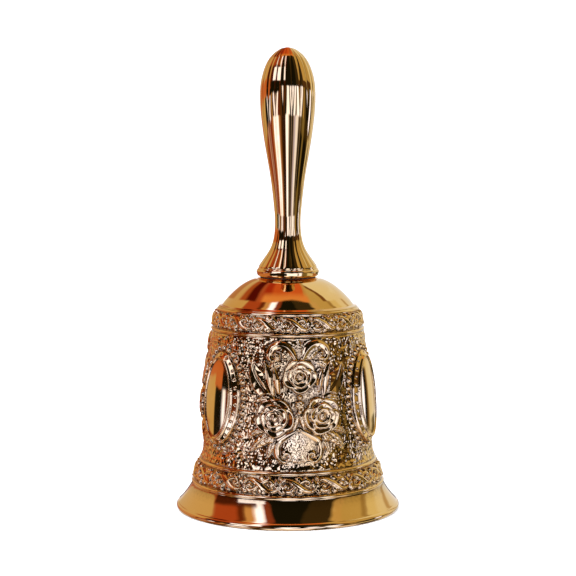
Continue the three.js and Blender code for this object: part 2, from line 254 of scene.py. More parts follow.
# ---- Ornament -----------------------------------------------------------
# Outlines of the scrolls, for the right-hand side.
HEAD_SCROLL = [(0.7, 55.6), (2.1, 58.5), (4.1, 60.5), (6.6, 61.0), (8.8, 59.8), (9.7, 57.8),
               (9.0, 56.0), (7.4, 55.9), (6.7, 57.1), (7.5, 57.9)]
FOOT_SCROLL = [(-0.1, 32.6), (2.1, 31.5), (4.6, 30.2), (6.6, 28.7), (7.4, 26.4), (7.1, 23.8),
               (5.9, 22.0), (4.2, 21.6), (2.95, 22.7), (3.3, 24.3), (4.7, 24.5), (5.1, 23.5)]


def panel_head(relief):
    """The small fan and the two scrolls at the head of a panel."""
    relief.leaves([
        ([(0.5, 56.4), (0.1, 59.2), (-2.4, 61.6), (-5.4, 62.7)], 1.15, 0.45, 0.25),
        ([(0.5, 56.4), (1.1, 59.2), (3.2, 61.7), (6.4, 62.9)], 1.15, 0.45, 0.25),
        ([(0.5, 56.6), (0.0, 59.4), (-1.3, 62.4)], 0.95, 0.5, 0.3),
        ([(0.5, 56.6), (1.0, 59.4), (2.3, 62.5)], 0.95, 0.5, 0.3)], veins=5, fold=0.5)
    relief.leaf([(0.45, 56.6), (0.5, 60.0), (0.5, 63.0)], 0.9, 0.62, 0.35, veins=6, fold=0.5)
    relief.cord([(-5.9, 62.5), (-4.4, 63.15), (-1.5, 63.05), (0.5, 63.3), (2.6, 63.1),
                 (5.4, 63.3), (6.9, 62.7)], 0.36, 0.62, taper=(0.7, 1, 1, 1, 0.7))
    relief.pearl(-5.7, 62.2, 0.6, 0.75)
    relief.pearl(6.7, 62.3, 0.6, 0.75)
    for side, dx, dz in ((-1, 0.1, 0.0), (1, 0.75, 0.35)):
        relief.leaf(mirrored([(2.4, 56.0), (4.6, 58.6), (7.6, 59.4)], side, dx, dz),
                    1.9, 0.5, 0.3, veins=5, serrate=0.25, lobes=5)
        relief.cord(mirrored(HEAD_SCROLL, side, dx, dz), 1.12, 0.62, base=0.55, count=56,
                    taper=(0.6, 1.0, 1.2, 1.1, 1.0, 0.85, 0.62, 0.6), roof=True)
        relief.pearl(dx + side * 7.35, 57.1 + dz, 0.75, 1.0)
        relief.leaf(mirrored([(5.4, 55.0), (7.6, 54.6), (9.6, 53.0), (10.6, 51.6)], side, dx, dz),
                    1.15, 0.6, 0.3, veins=5, serrate=0.2)


def panel_leaves(relief):
    """The leaves that lie round the roses."""
    # pairs of broad leaves beside the upper rose
    relief.leaves([
        ([(-8.8, 44.0), (-11.8, 47.4), (-14.2, 50.8), (-15.8, 55.2)], 3.5, 0.13, 0.4),
        ([(8.8, 43.8), (12.0, 47.0), (14.6, 50.4), (16.6, 54.6)], 3.4, 0.13, 0.4)],
        veins=5, serrate=0.06, fold=1.7, ramp=1.45)
    for control, width in (([(-8.6, 44.6), (-9.7, 48.6), (-10.2, 52.2), (-11.2, 55.2)], 1.3),
                           ([(-6.6, 45.2), (-7.4, 49.0), (-8.0, 53.6)], 1.0),
                           ([(8.9, 44.2), (9.5, 48.4), (9.9, 51.6), (11.2, 54.9)], 1.25),
                           ([(7.0, 45.6), (7.6, 49.2), (8.2, 52.8)], 0.95)):
        relief.cord(control, width, 0.75, taper=(0.5, 0.95, 1.1, 0.9, 0.25), base=0.55,
                    roof=True, over=True)
    relief.pearl(-11.0, 43.3, 0.75, 0.9)
    relief.pearl(10.8, 43.2, 0.75, 0.9)
    # striped leaves under the lower roses
    for side, dz in ((-1, 0.0), (1, 0.4)):
        for x0, z0, x1, z1, width in ((10.6, 32.6, 17.8, 29.8, 1.2), (8.0, 30.0, 10.9, 22.9, 1.25),
                                      (8.8, 31.4, 16.9, 24.9, 1.9)):
            middle = ((x0 + x1) / 2, (z0 + z1) / 2 + 0.5)
            relief.leaf(mirrored([(x0, z0), middle, (x1, z1)], side, 0.3, dz), width, 0.8, 0.3,
                        veins=5, serrate=0.15, lobes=5, fold=0.5)
    # tulip-like leaves between the lower roses
    relief.leaves([([(0.2, 38.6), (-1.5, 35.2), (-3.9, 31.8)], 1.1, 0.85, 0.4),
                   ([(0.6, 38.6), (2.2, 35.4), (4.2, 31.8)], 1.1, 0.85, 0.4),
                   ([(0.2, 38.8), (-0.7, 35.5), (-1.7, 31.9)], 0.85, 0.95, 0.5),
                   ([(0.6, 38.8), (1.2, 35.5), (2.0, 32.2)], 0.85, 0.95, 0.5)], veins=3)


def panel_foot(relief):
    """Lyre-shaped scrolls at the foot, round a pricked field ridged down its middle."""
    x, z = np.abs(relief.around - 0.15), relief.up
    field = (x < 6.4) & (z > 21.6) & (z < 31.9 - 0.42 * x)
    prick = (np.sin(4.6 * relief.around + 1.6 * np.sin(2.3 * z))
             * np.sin(4.3 * z + 1.8 * np.sin(1.9 * relief.around)))
    ridge = 0.22 + 0.1 * (6.4 - np.sqrt(x * x + 1.2)) - 0.1 * np.clip(prick, 0, 1)
    relief.put(np.s_[:, :], np.maximum(ridge, 0), field)
    for side, dx in ((-1, 0.0), (1, 0.35)):
        relief.cord(mirrored(FOOT_SCROLL, side, dx), 0.98, 0.6, base=0.5, count=64, roof=True,
                    taper=(0.7, 0.95, 1.15, 1.2, 1.1, 0.95, 0.8, 0.66, 0.66, 0.8))
        relief.leaf(mirrored([(1.6, 20.6), (3.0, 21.2), (5.2, 20.3)], side, dx),
                    0.75, 0.45, 0.25, veins=3)
    relief.pearl(0.15, 21.9, 0.9, 0.7)
    relief.pearl(0.15, 32.4, 0.7, 1.0)


def panel_roses(relief):
    """The three roses, on their own small leaves."""
    relief.leaves([([(-7.6, 41.6), (-10.4, 43.2), (-14.6, 42.0)], 1.5, 0.9, 0.45),
                   ([(8.2, 41.8), (10.6, 43.4), (15.0, 42.2)], 1.5, 0.9, 0.45),
                   ([(-8.4, 31.0), (-9.6, 29.2), (-12.6, 28.6)], 1.4, 0.9, 0.45),
                   ([(8.6, 31.4), (9.8, 29.6), (12.8, 29.0)], 1.4, 0.9, 0.45)],
                  veins=4, fold=0.4)
    relief.rose(0.5, 50.6, 5.7, 128, -1, base=0.85)
    relief.rose(-8.0, 36.6, 6.6, 62, 1, base=1.1)
    relief.rose(8.1, 37.0, 6.5, 118, -1, base=1.1)
    # the little rosette where the three roses meet
    for x, z in arc(0.4, 41.0, 0.95, 15, 315, 5):
        relief.pearl(x, z, 0.55, 0.35, base=1.35)
    relief.pearl(0.4, 41.0, 0.6, 0.6, base=1.4)
    relief.pearl(0.45, 43.5, 0.8, 0.5, base=1.1)
    relief.pearl(0.4, 38.9, 0.75, 0.5, base=1.2)


OVAL_Z, OVAL_X_HALF, OVAL_Z_HALF = 41.5, 6.9, 13.9  # middle height and half sizes
OVAL_POWER = 1.86  # below 2, so the ends are slightly pointed
RING_POWER = 1.93  # the same for the rings of pits and pearls


def oval_ring(margin_x, margin_z, count):
    """Evenly spaced points round the oval, a margin outside its rim."""
    turn = np.linspace(0, 2 * np.pi, 721)
    x, z = ((half + margin) * np.sign(wave) * np.abs(wave) ** (2 / RING_POWER)
            for half, margin, wave in ((OVAL_X_HALF, margin_x, np.cos(turn)),
                                       (OVAL_Z_HALF, margin_z, np.sin(turn))))
    along = np.r_[0, np.cumsum(np.hypot(np.diff(x), np.diff(z)))]
    place = (np.arange(count) + 0.5) / count * along[-1]
    return zip(np.interp(place, along, x), OVAL_Z + np.interp(place, along, z))


def oval(relief):
    """A polished, slightly pointed oval on a raised boss, with a pitted border and pearls."""
    x, z = np.abs(relief.around), relief.up - OVAL_Z
    power = OVAL_POWER

    def reach(half_x, half_z):
        """1 on the oval with these half sizes."""
        return ((x / half_x) ** power + (np.abs(z) / half_z) ** power) ** (1 / power)

    out = reach(OVAL_X_HALF, OVAL_Z_HALF)
    slope = np.hypot((x / OVAL_X_HALF) ** (power - 1) / OVAL_X_HALF,
                     (np.abs(z) / OVAL_Z_HALF) ** (power - 1) / OVAL_Z_HALF)
    # distance outside the rim, in mm
    beyond = (out - 1) * np.maximum(out, 0.15) ** (power - 1) / np.maximum(slope, 1e-3)
    # how far across the border: 0 at the rim, 1 at its outer edge
    outer = reach(OVAL_X_HALF + 3.0, OVAL_Z_HALF + 2.3)
    across = np.clip((out - 1) / np.maximum(out - outer, 1e-3), 0, 1)
    across = across * (outer < 1) + (outer >= 1)
    lens = 2.02 + 0.36 * (1 - out ** 2) - 0.035 * z
    rim = 2.22 - 0.03 * z + 0.2 * dome(np.clip((beyond - 0.05) / 0.42, -1, 1))
    border = 2.12 - 0.03 * z - 1.05 * across
    rise = np.where(beyond < -0.36, lens, np.where(beyond < 0.47, rim, border))
    # ease the lens into the valley inside the rim
    valley = (beyond < -0.36) & (beyond > -0.9)
    rise = np.where(valley, rise - 0.14 * ease((beyond + 0.9) / 0.54), rise)
    rise = rise - 0.75 * ease((across - 0.86) / 0.14) * (beyond > 0.47)
    relief.put(np.s_[:, :], rise, outer < 1)
    for pit_x, pit_z in oval_ring(1.65, 1.2, 26):
        area, off_x, off_y = relief.square(pit_x, pit_z, 0.7)
        relief.rise[area] -= 0.4 * np.exp(-(np.hypot(off_x, off_y) / 0.3) ** 2)
    for pearl_x, pearl_z in oval_ring(4.1, 3.5, 34):
        relief.pearl(pearl_x, pearl_z, 0.98, 0.95, base=0.15)


# One repeat of the vine is drawn 12.6 long and 2.55 high each side of its middle.
VINE_LENGTH, VINE_HALF, VINE_REPEATS = 12.6, 2.55, 16
VINE_LEAVES = [([(-0.9, -0.9), (-0.3, -1.6), (1.0, -2.3)], 0.95),  # midrib, half width
               ([(0.2, 0.9), (0.2, 1.7), (-1.2, 2.4)], 0.95),
               ([(4.3, -0.5), (5.0, 0.5), (4.7, 2.0)], 1.0),
               ([(5.6, -0.6), (6.5, -1.3), (7.5, -2.2)], 0.95)]
VINE_FALL = [(-4.7, 1.75), (-3.0, 1.35), (-0.6, 0.1), (1.6, -1.25), (3.4, -1.75)]
VINE_CLIMB = [(3.0, -1.7), (4.7, -1.3), (5.9, 0.1), (6.9, 1.35), (8.1, 1.8)]
VINE_CURLS = [[(-0.6, 0.4), (0.9, 1.3), (2.5, 1.6), (3.6, 0.8), (2.9, -0.1), (2.1, 0.3)],
              [(-1.4, -0.2), (-2.8, -1.4), (-4.4, -1.6), (-5.3, -0.8), (-4.5, 0.0), (-3.8, -0.4)]]
VINE_BERRIES = [(2.2, 2.3, 0.55), (-2.5, -2.3, 0.55), (-2.6, 0.5, 0.5), (6.2, 2.1, 0.55),
                (-6.0, -2.0, 0.55), (6.5, -0.1, 0.5), (3.6, -0.6, 0.45), (-6.3, 0.7, 0.5)]


def vine(relief, middle, half, girth):
    """A running vine with curls, leaves and berries, repeated round the band."""
    repeat = girth / VINE_REPEATS
    for i in range(-1, VINE_REPEATS + 1):

        def laid(points):
            return [(repeat * i + x * repeat / VINE_LENGTH, middle + z * (half / VINE_HALF))
                    for x, z in points]

        for control, width in VINE_LEAVES:
            relief.leaf(laid(control), width, 0.42, 0.3, veins=0)
        relief.cord(laid(VINE_FALL), 0.85, 0.5, taper=(0.5, 1.0, 1.2, 1.0, 0.6), roof=True,
                    base=0.5)
        relief.cord(laid(VINE_CLIMB), 0.6, 0.5, taper=(0.9, 0.8, 0.8, 0.9), base=0.2)
        for curl in VINE_CURLS:
            relief.cord(laid(curl), 0.62, 0.55, taper=(0.7, 1, 1, 0.95, 0.9, 0.9), count=40,
                        base=0.2)
        for x, z, radius in VINE_BERRIES:
            relief.pearl(*laid([(x, z)])[0], radius, 0.5, base=0.3, over=False)


# ---- The turned wall under the relief -----------------------------------
COLS = 960  # columns round the shell
RELIEF_STEP = 0.195  # row spacing over the relief
# Stations are (height, radius).
LIP = [(0.0, 37.45), (0.0, 38.6), (0.12, 39.05), (0.45, 39.4), (0.95, 39.58), (1.45, 39.52),
       (1.9, 39.25), (2.15, 38.98), (2.25, 38.78), (2.32, 38.7)]
WALL = [(2.5, 38.6), (3.0, 38.15), (3.8, 37.45), (5.0, 36.5), (6.2, 35.65), (7.5, 34.85),
        (8.6, 34.25), (9.9, 33.7), (11.2, 33.3), (13, 32.75), (15, 32.1), (16.8, 31.4),
        (18.0, 30.95), (19.5, 30.4), (21, 30.0), (24, 29.7), (28, 29.55), (32, 29.4), (36, 29.3),
        (40, 29.15), (44, 28.95), (48, 28.6), (52, 28.2), (56, 27.7), (60, 27.2), (62, 26.95),
        (64.2, 26.65), (65.5, 26.35), (67, 26.0), (69, 25.45), (70.9, 24.8)]
SHOULDER = [(71.55, 24.62), (71.95, 24.45), (72.2, 24.1), (72.3, 23.55), (72.45, 23.15),
            (72.9, 22.85), (73.6, 22.3), (74.6, 21.45), (75.8, 20.3), (77.0, 19.05),
            (78.2, 17.65), (79.2, 16.3), (80.1, 14.85), (80.8, 13.45), (81.25, 12.25),
            (81.45, 11.45), (81.48, 10.9), (81.6, 10.62), (81.75, 10.3)]
INNER = [(0.0, 37.45), (0.35, 37.3), (1.5, 36.95), (2.9, 36.05), (4.4, 34.95), (6.4, 33.6),
         (8.6, 32.4), (11.5, 31.25), (15.5, 29.95), (18.2, 28.95), (21.5, 28.1), (25.0, 27.7),
         (31.0, 27.45), (38.0, 27.15), (46.0, 26.75), (52.0, 26.2), (57.0, 25.55), (61.5, 24.65),
         (65.5, 23.65), (70.6, 21.25), (73.0, 19.7), (75.0, 18.0), (76.7, 16.0), (78.0, 13.9),
         (79.0, 11.6), (79.4, 9.3), (79.4, 6.0), (79.4, 3.35)]
BEADS = ((9.9, 0.55, 0.52), (17.6, 0.55, 0.55), (64.2, 0.5, 0.55),
         (71.05, 0.42, 0.42))  # height, half width, rise


def resample(stations, step):
    """Points (radius, height) along a smooth line at a spacing given by step(height)."""
    fine = curve([(radius, z) for z, radius in stations], 40 * (len(stations) - 1) + 1)
    along = np.r_[0, np.cumsum(np.hypot(*np.diff(fine, axis=0).T))]
    want = [0.0]
    while True:
        gap = step(np.interp(want[-1], along, fine[:, 1]))
        if want[-1] + gap >= along[-1] - 0.5 * gap:
            break
        want.append(want[-1] + gap)
    want.append(along[-1])
    return np.c_[np.interp(want, along, fine[:, 0]), np.interp(want, along, fine[:, 1])]


def outer_rows():
    """(radius, height) rows from the flat of the lip to the edge of the crown pad, with
    their outward normals."""
    rows = np.vstack([
        resample(LIP, lambda z: 0.16),
        resample(WALL, lambda z: 0.16 if z < 2.6 else 0.5 if z < 8.9 else RELIEF_STEP),
        resample(SHOULDER, lambda z: 0.13 if z < 72.6 else 0.45 if z < 80.9 else 0.12)])
    slope = np.gradient(rows, axis=0)
    normals = np.c_[slope[:, 1], -slope[:, 0]]
    return rows, normals / np.hypot(normals[:, 0], normals[:, 1])[:, None]


def waist(radius, z, turn, rng):
    """The rise of the wall between the vines, and 1 where ground lies between grains, which gets
    painted shade.
    One third, centred on a flower panel, is laid out three times."""
    third = len(turn) // 3
    local = (np.arange(third) + 0.5) / third * (2 * np.pi / 3) - np.pi / 3
    radius, column = radius[:, None], z[:, None]
    panel = Relief(local * radius, z)
    # the ovals sit where two thirds meet, so each third holds half of two of them
    for side in (-1, 1):
        panel.around = (local - side * np.pi / 3) * radius
        oval(panel)
    panel.around = local * radius
    for part in (panel_head, panel_leaves, panel_foot, panel_roses):
        part(panel)
    grains = stipple(turn * radius, column, 2 * np.pi * radius[:, 0], rng, 1.3, 0.13)
    # a slow unevenness under the grains, as cast work has: waves round, waves up, phase
    swell = sum(np.sin(a * turn + b * column + c) for a, b, c in
                ((31, 0.55, 0.3), (-43, 0.9, 1.9), (22, -1.25, 4.0), (57, 0.2, 2.2),
                 (-14, 1.6, 5.1)))
    ground = grains + np.maximum(0.045 * swell + 0.14, 0)
    # turn 0 is the middle of a panel
    rise, cover = (np.roll(np.tile(part, (1, 3)), -(third // 2), axis=1)
                   for part in (panel.rise, panel.cover))
    # the second map is 1 on bare ground between the grains, where shade is painted
    return np.where(cover, rise, ground), np.where(cover, 0, np.clip(1.1 - grains / 0.05, 0, 1))


def vine_band(radius, z, turn, rng, middle, half):
    """The same for a band of running vine."""
    mean_radius = float(np.interp(middle, z, radius))
    girth = 2 * np.pi * mean_radius
    band = Relief(np.broadcast_to(turn * mean_radius, (len(z), len(turn))), z)
    vine(band, middle, half, girth)
    grains = stipple(band.around, z[:, None], np.full(len(z), girth), rng, 1.1, 0.055)
    # the second map is 1 on bare ground between the grains, where shade is painted
    return (np.where(band.cover, 1.1 * band.rise, grains),
            np.where(band.cover, 0, np.clip(1.25 - grains / 0.04, 0, 1)))


# foot and top of each zone, how far it fades in at each, its maker, middle and half height
ZONES = ((18.3, 63.6, 0.3, 0.8, waist),
         (10.45, 17.05, 0.35, 0.35, vine_band, 13.75, 2.75),
         (64.75, 70.7, 0.35, 0.35, vine_band, 67.75, 2.5))


def fine_relief(rows, rng, cols):
    """The rise of the whole wall, and where its ground lies low, for painted shade there."""
    radius, z = rows[:, 0], rows[:, 1]
    rise, low = np.zeros((2, len(rows), cols))
    turn = (np.arange(cols) + 0.5) / cols * 2 * np.pi
    for foot, top, fade_foot, fade_top, lay, *sizes in ZONES:
        zone = span_of((z > foot) & (z < top))
        fade = (ease((z[zone] - foot) / fade_foot) * ease((top - z[zone]) / fade_top))[:, None]
        zone_rise, zone_low = lay(radius[zone], z[zone], turn, rng, *sizes)
        rise[zone], low[zone] = zone_rise * fade, zone_low * fade
    for bead_z, half, height in BEADS:
        bead = height * dome(np.clip((z - bead_z) / half, -1, 1))
        rise = np.maximum(rise, bead[:, None])
    return rise, low


def relief_map(coarse, rng):
    """The relief at each row and column. It is worked out on a grid twice as fine and
    averaged, so that edges at a slant come out smooth."""
    count = len(coarse)
    index = np.arange(count)
    place = np.clip(np.repeat(index, 2) + np.tile([-0.25, 0.25], count), 0, count - 1)
    rows = np.c_[np.interp(place, index, coarse[:, 0]), np.interp(place, index, coarse[:, 1])]
    return [part.reshape(count, 2, COLS, 2).mean(axis=(1, 3))
            for part in fine_relief(rows, rng, 2 * COLS)]


# ---- Mesh making --------------------------------------------------------
def as_object(name, verts, loops, totals, sharp=None):
    """A smooth mesh object: verts in mm, and polygons as runs of vertex numbers."""
    mesh = bpy.data.meshes.new(name)
    verts = np.asarray(verts, np.float32) * 0.001
    totals = np.asarray(totals, np.int32)
    mesh.vertices.add(len(verts))
    mesh.vertices.foreach_set("co", verts.ravel())
    mesh.loops.add(len(loops))
    mesh.loops.foreach_set("vertex_index", np.asarray(loops, np.int32))
    mesh.polygons.add(len(totals))
    mesh.polygons.foreach_set("loop_start", (np.cumsum(totals) - totals).astype(np.int32))
    mesh.polygons.foreach_set("loop_total", totals)
    mesh.polygons.foreach_set("use_smooth", np.ones(len(totals), bool))
    mesh.update(calc_edges=True)
    mesh.validate()
    if sharp is not None:
        mesh.set_sharp_from_angle(angle=math.radians(sharp))
    ob = bpy.data.objects.new(name, mesh)
    bpy.context.scene.collection.objects.link(ob)
    return ob


def skin(name, rings, capped=False, sharp=None):
    """A closed mesh over rings, (rows, columns, 3), whose columns close on themselves.
    The end rows are capped with a fan, or else the last row is joined to the first."""
    rows, cols, _ = rings.shape
    verts = rings.reshape(-1, 3)
    j = np.arange(cols)
    row, col = np.meshgrid(np.arange(rows - 1 if capped else rows), j, indexing="ij")
    after, above = (col + 1) % cols, (row + 1) % rows * cols
    quads = np.stack([row * cols + col, row * cols + after, above + after, above + col], axis=-1)
    loops, totals = [quads.reshape(-1)], [np.full(row.size, 4)]
    if capped:
        for end, centre in ((0, len(verts)), (rows - 1, len(verts) + 1)):
            edge = [end * cols + j, end * cols + (j + 1) % cols]
            if end == 0:
                edge.reverse()
            loops.append(np.stack([*edge, np.full(cols, centre)], axis=-1).reshape(-1))
            totals.append(np.full(cols, 3))
        verts = np.vstack([verts, rings[0].mean(axis=0), rings[-1].mean(axis=0)])
    return as_object(name, verts, np.concatenate(loops), np.concatenate(totals), sharp)


def rounded(profile, radius=0.15, steps=3, closed=True):
    """Rounds each corner of a profile of (radius, height) points. A third number is that
    corner's own rounding."""
    points = [np.array(point[:2], float) for point in profile]
    count = len(points)
    out = []
    for i, corner in enumerate(points):
        bend = profile[i][2] if len(profile[i]) > 2 else radius
        if bend <= 0 or (not closed and i in (0, count - 1)):
            out.append(corner)
            continue
        back, ahead = points[i - 1] - corner, points[(i + 1) % count] - corner
        back_length, ahead_length = np.linalg.norm(back), np.linalg.norm(ahead)
        back, ahead = back / back_length, ahead / ahead_length
        half = math.acos(float(np.clip(back @ ahead, -1, 1))) / 2
        inset = min(bend / math.tan(half), 0.45 * back_length, 0.45 * ahead_length)
        bend = inset * math.tan(half)
        middle = (back + ahead) / np.linalg.norm(back + ahead)
        centre = corner + middle * (bend / math.sin(half))
        start, end = corner + back * inset - centre, corner + ahead * inset - centre
        angle = math.atan2(start[1], start[0])
        swing = math.atan2(end[1], end[0]) - angle
        swing = (swing + math.pi) % (2 * math.pi) - math.pi
        for k in range(steps + 1):
            at = angle + swing * k / steps
            out.append(centre + bend * np.array([math.cos(at), math.sin(at)]))
    return np.array(out)


def circle(cols):
    return np.arange(cols) / cols * 2 * np.pi


def swung(radius, z, turn):
    """Points at a radius and height, swung about Z."""
    radius, z, turn = np.broadcast_arrays(radius, z, turn)
    return np.stack([radius * np.sin(turn), -radius * np.cos(turn), z], axis=-1)


def wheel(profile, turn):
    """Rings of a profile of (radius, height) points."""
    points = np.asarray(profile, float)
    return swung(points[:, 0, None], points[:, 1, None], turn)


def turned(name, profile, cols=96, ring=True, sharp=38, crosswise=False):
    """A turned piece. ring: the profile closes on itself and meets no axis.
    crosswise: it lies along X at the pivot's height, and heights become places on X."""
    rings = wheel(profile, circle(cols))
    if crosswise:
        x, y, z = np.moveaxis(rings, -1, 0)
        rings = np.stack([z, y, PIVOT - x], axis=-1)
    return skin(name, rings, capped=not ring, sharp=sharp)


def collar_ring(name, inner, outer, low, high, edge, cols, crosswise=False):
    """A plain ring of rectangular section with rounded edges."""
    section = [(inner, low), (outer, low), (outer, high), (inner, high)]
    return turned(name, rounded(section, edge), cols, crosswise=crosswise)


def thread(z, turn, pitch, depth):
    """How far a screw thread's surface lies inside its outside radius."""
    phase = (z / pitch - turn / (2 * np.pi)) % 1.0
    return depth * np.clip(np.abs(phase - 0.5) * 2.6 - 0.22, 0, 1)


def threaded_rings(z, from_end, turn, radius, pitch, depth, chamfer):
    """Rings of a threaded shaft, chamfered where from_end is small."""
    cut_back = np.clip(chamfer - from_end, 0, chamfer)
    surface = radius - thread(z[:, None], turn, pitch, depth)
    return swung(np.minimum(surface, radius - cut_back[:, None]), z[:, None], turn)


def prism(name, outline, start, end, winding=1, crosswise=False):
    """An outline of (x, z) points drawn out along Y; crosswise gives it a quarter turn
    about Z. winding is 1 if the outline runs anticlockwise, with Z up and X to the
    right, and -1 if clockwise."""
    verts = [(x, y, z) for y in (start, end) for x, z in outline]
    if crosswise:
        verts = [(-y, x, z) for x, y, z in verts]
    count = len(outline)
    near, far = list(range(count)), list(range(count, 2 * count))
    faces = [near[::winding], far[::-winding]]
    for k in range(count):
        after = (k + 1) % count
        side = [k, count + k, count + after, after]
        faces.append(side if winding > 0 else side[:1] + side[:0:-1])
    return as_object(name, verts, sum(faces, []), [len(face) for face in faces])


def bake_down(ob):
    """Applies ob's modifiers to its mesh."""
    bpy.context.view_layer.update()
    graph = bpy.context.evaluated_depsgraph_get()
    mesh = bpy.data.meshes.new_from_object(ob.evaluated_get(graph))
    ob.modifiers.clear()
    ob.data = mesh


def cut(ob, other, how="DIFFERENCE"):
    """Joins or cuts ob with another closed mesh, and drops that mesh."""
    boolean = ob.modifiers.new("cut", "BOOLEAN")
    boolean.operation = how
    boolean.object = other
    boolean.solver = "EXACT"
    bake_down(ob)
    bpy.data.objects.remove(other)


def shade(ob, angle):
    """Smooth shading, with edges sharper than the angle kept hard."""
    ob.data.polygons.foreach_set("use_smooth", np.ones(len(ob.data.polygons), bool))
    ob.data.set_sharp_from_angle(angle=math.radians(angle))


def soften(ob, width, steps):
    """Rounds the hard edges of ob by a small bevel."""
    bevel = ob.modifiers.new("edge", "BEVEL")
    bevel.width = width * 0.001
    bevel.segments = steps
    bevel.limit_method = "ANGLE"
    bevel.angle_limit = math.radians(40)
    bevel.miter_outer = "MITER_ARC"
    bake_down(ob)
    shade(ob, 40)
    return ob


def add_attribute(ob, name, values):
    layer = ob.data.attributes.new(name, "FLOAT", "POINT")
    layer.data.foreach_set("value", np.asarray(values, np.float32))


# ---- Pieces -------------------------------------------------------------
COLLAR_FOOT, COLLAR_TOP = 82.15, 85.25
CROWN_TOP, CROWN_UNDER = 81.75, 79.4  # faces of the metal at the crown
CROWN_HOLE = 3.3
STUD_FOOT, STUD_TOP, STUD_RADIUS = 68.6, 94.4, 3.0
FLAT_WASHER_FOOT = 78.2
SPRING_FOOT, SPRING_TOP = 76.62, 78.18
CROWN_NUT_FOOT, CROWN_NUT_TOP = 71.6, 76.6
SCREW_TOP = 75.5
PIVOT = 59.4  # height of the cross pin
YOKE_HALF = 3.5  # half width of the strap, and radius of its ear ends
YOKE_UNDER, YOKE_INSIDE, STRAP = 66.2, 4.6, 1.6  # strap is the thickness
BOB_RADIUS, BOB_Z = 6.9, 9.3
# Outline of the grip: height, radius.
GRIP = [(85.25, 10.42), (85.6, 10.4), (86.2, 10.05), (87.0, 9.5), (88.0, 8.8), (89.2, 7.95),
        (90.5, 7.05), (92.0, 6.2), (93.6, 5.55), (95.5, 5.05), (97.5, 4.75), (100.0, 4.58),
        (103.0, 4.6), (106.0, 4.85), (110.0, 5.25), (115.0, 5.85), (120.0, 6.62), (125.0, 7.5),
        (130.0, 8.35), (135.0, 9.05), (139.5, 9.55), (144.0, 9.78), (148.0, 9.7), (151.0, 9.32),
        (154.0, 8.55), (156.5, 7.55), (158.5, 6.35), (160.0, 5.0), (161.2, 3.4), (161.9, 2.0),
        (162.3, 0.0)]


def painted_recess_shade(rise, low):
    """Where metal lies lower than its surroundings, or ground lies between grains: how much shade is
    painted into these recesses.
    """
    wide = rise
    for _ in range(3):
        wide = (wide + np.roll(wide, 3, 1) + np.roll(wide, -3, 1)) / 3
        padded = np.pad(wide, ((3, 3), (0, 0)), mode="edge")
        wide = (padded[3:-3] + padded[:-6] + padded[6:]) / 3
    return np.clip(np.maximum((wide - rise) / 0.26, low * 0.9), 0, 1)


def make_shell():
    rows, normals = outer_rows()
    rise, low = relief_map(rows, np.random.default_rng(20240607))
    turn = (np.arange(COLS) + 0.5) / COLS * 2 * np.pi
    outer = swung(rows[:, 0, None] + normals[:, 0, None] * rise,
                  rows[:, 1, None] + normals[:, 1, None] * rise, turn)
    # flat of the crown and the stud's hole through it, then down the inside to the lip
    pad = [(9.6, CROWN_TOP), (6.4, CROWN_TOP), (3.45, CROWN_TOP), (CROWN_HOLE, CROWN_TOP - 0.15),
           (CROWN_HOLE, 80.5), (CROWN_HOLE, CROWN_UNDER + 0.12), (3.42, CROWN_UNDER)]
    inner = resample(INNER, lambda z: 0.35 if z < 2.0 else 0.9 if z < 20 else 1.5)[::-1]
    rest = wheel(np.vstack([pad, inner[inner[:, 0] > 3.5]])[:-1], turn)
    ob = skin("bell", np.concatenate([outer, rest]))
    plain = np.zeros(len(rest) * COLS)
    # painted shade: the hollow attribute holds how much shade is painted on the outer wall; none is
    # painted inside
    add_attribute(ob, "hollow", np.r_[painted_recess_shade(rise, low).ravel(), plain])
    add_attribute(ob, "inside", np.r_[np.zeros(rise.size), plain + 1])
    return ob


def make_grip():
    reeds, per_reed = 20, 18
    cols = reeds * per_reed
    outline = resample(GRIP, lambda z: 0.28 if (z < 97 or z > 156) else 0.6)
    outline = outline[outline[:, 0] > 0.35]
    radius, z = outline[:, 0, None], outline[:, 1, None]
    # -1..1 across each reed, with valleys at the ends
    x = (((np.arange(cols) / per_reed) + 0.5 + 7 / 18) % 1.0) * 2 - 1
    share = x * x * (0.8 + 0.2 * x ** 4)
    depth = 0.004 + 0.015 * ease((z - 138) / 12.0) + 0.018 * ease((100 - z) / 6.0)
    # the reeds die into a plain fillet just above the collar
    reeded = ease((z - COLLAR_TOP) / 0.9)
    surface = radius * (1 - reeded) * 0.985 + radius * (1 - depth * share) * reeded
    turn = circle(cols)
    bore = wheel([(0.4, 96.2), (3.1, 95.2), (3.1, COLLAR_TOP + 0.3), (3.4, COLLAR_TOP)], turn)
    ob = skin("grip", np.concatenate([bore, swung(surface, z, turn)]), capped=True, sharp=60)
    # painted shade: the valleys between the reeds go into the hollow attribute, and the gilt finish
    # darkens them
    valleys = np.tile(np.clip(share * 1.6 - 0.35, 0, 1), len(outline))
    add_attribute(ob, "hollow", np.r_[np.zeros(len(bore) * cols), valleys, 0, 0])
    return ob


def make_collar():
    profile = [(3.25, COLLAR_FOOT, 0.1), (9.75, COLLAR_FOOT, 0.12), (10.3, 82.3, 0.2),
               (10.76, 82.72, 0.22), (11.12, 84.1, 0.4), (10.93, 84.62, 0.22),
               (10.62, 84.8, 0.06), (10.62, 85.02, 0.06), (10.48, COLLAR_TOP, 0.06),
               (3.25, COLLAR_TOP, 0.1)]
    return turned("collar", rounded(profile, steps=4), 160, sharp=50)


def make_seat():
    """The leather between crown and collar."""
    profile = [(CROWN_HOLE, CROWN_TOP), (9.55, CROWN_TOP), (9.7, CROWN_TOP + 0.2),
               (9.55, COLLAR_FOOT), (CROWN_HOLE, COLLAR_FOOT)]
    return turned("seat_leather", rounded(profile, 0.08))


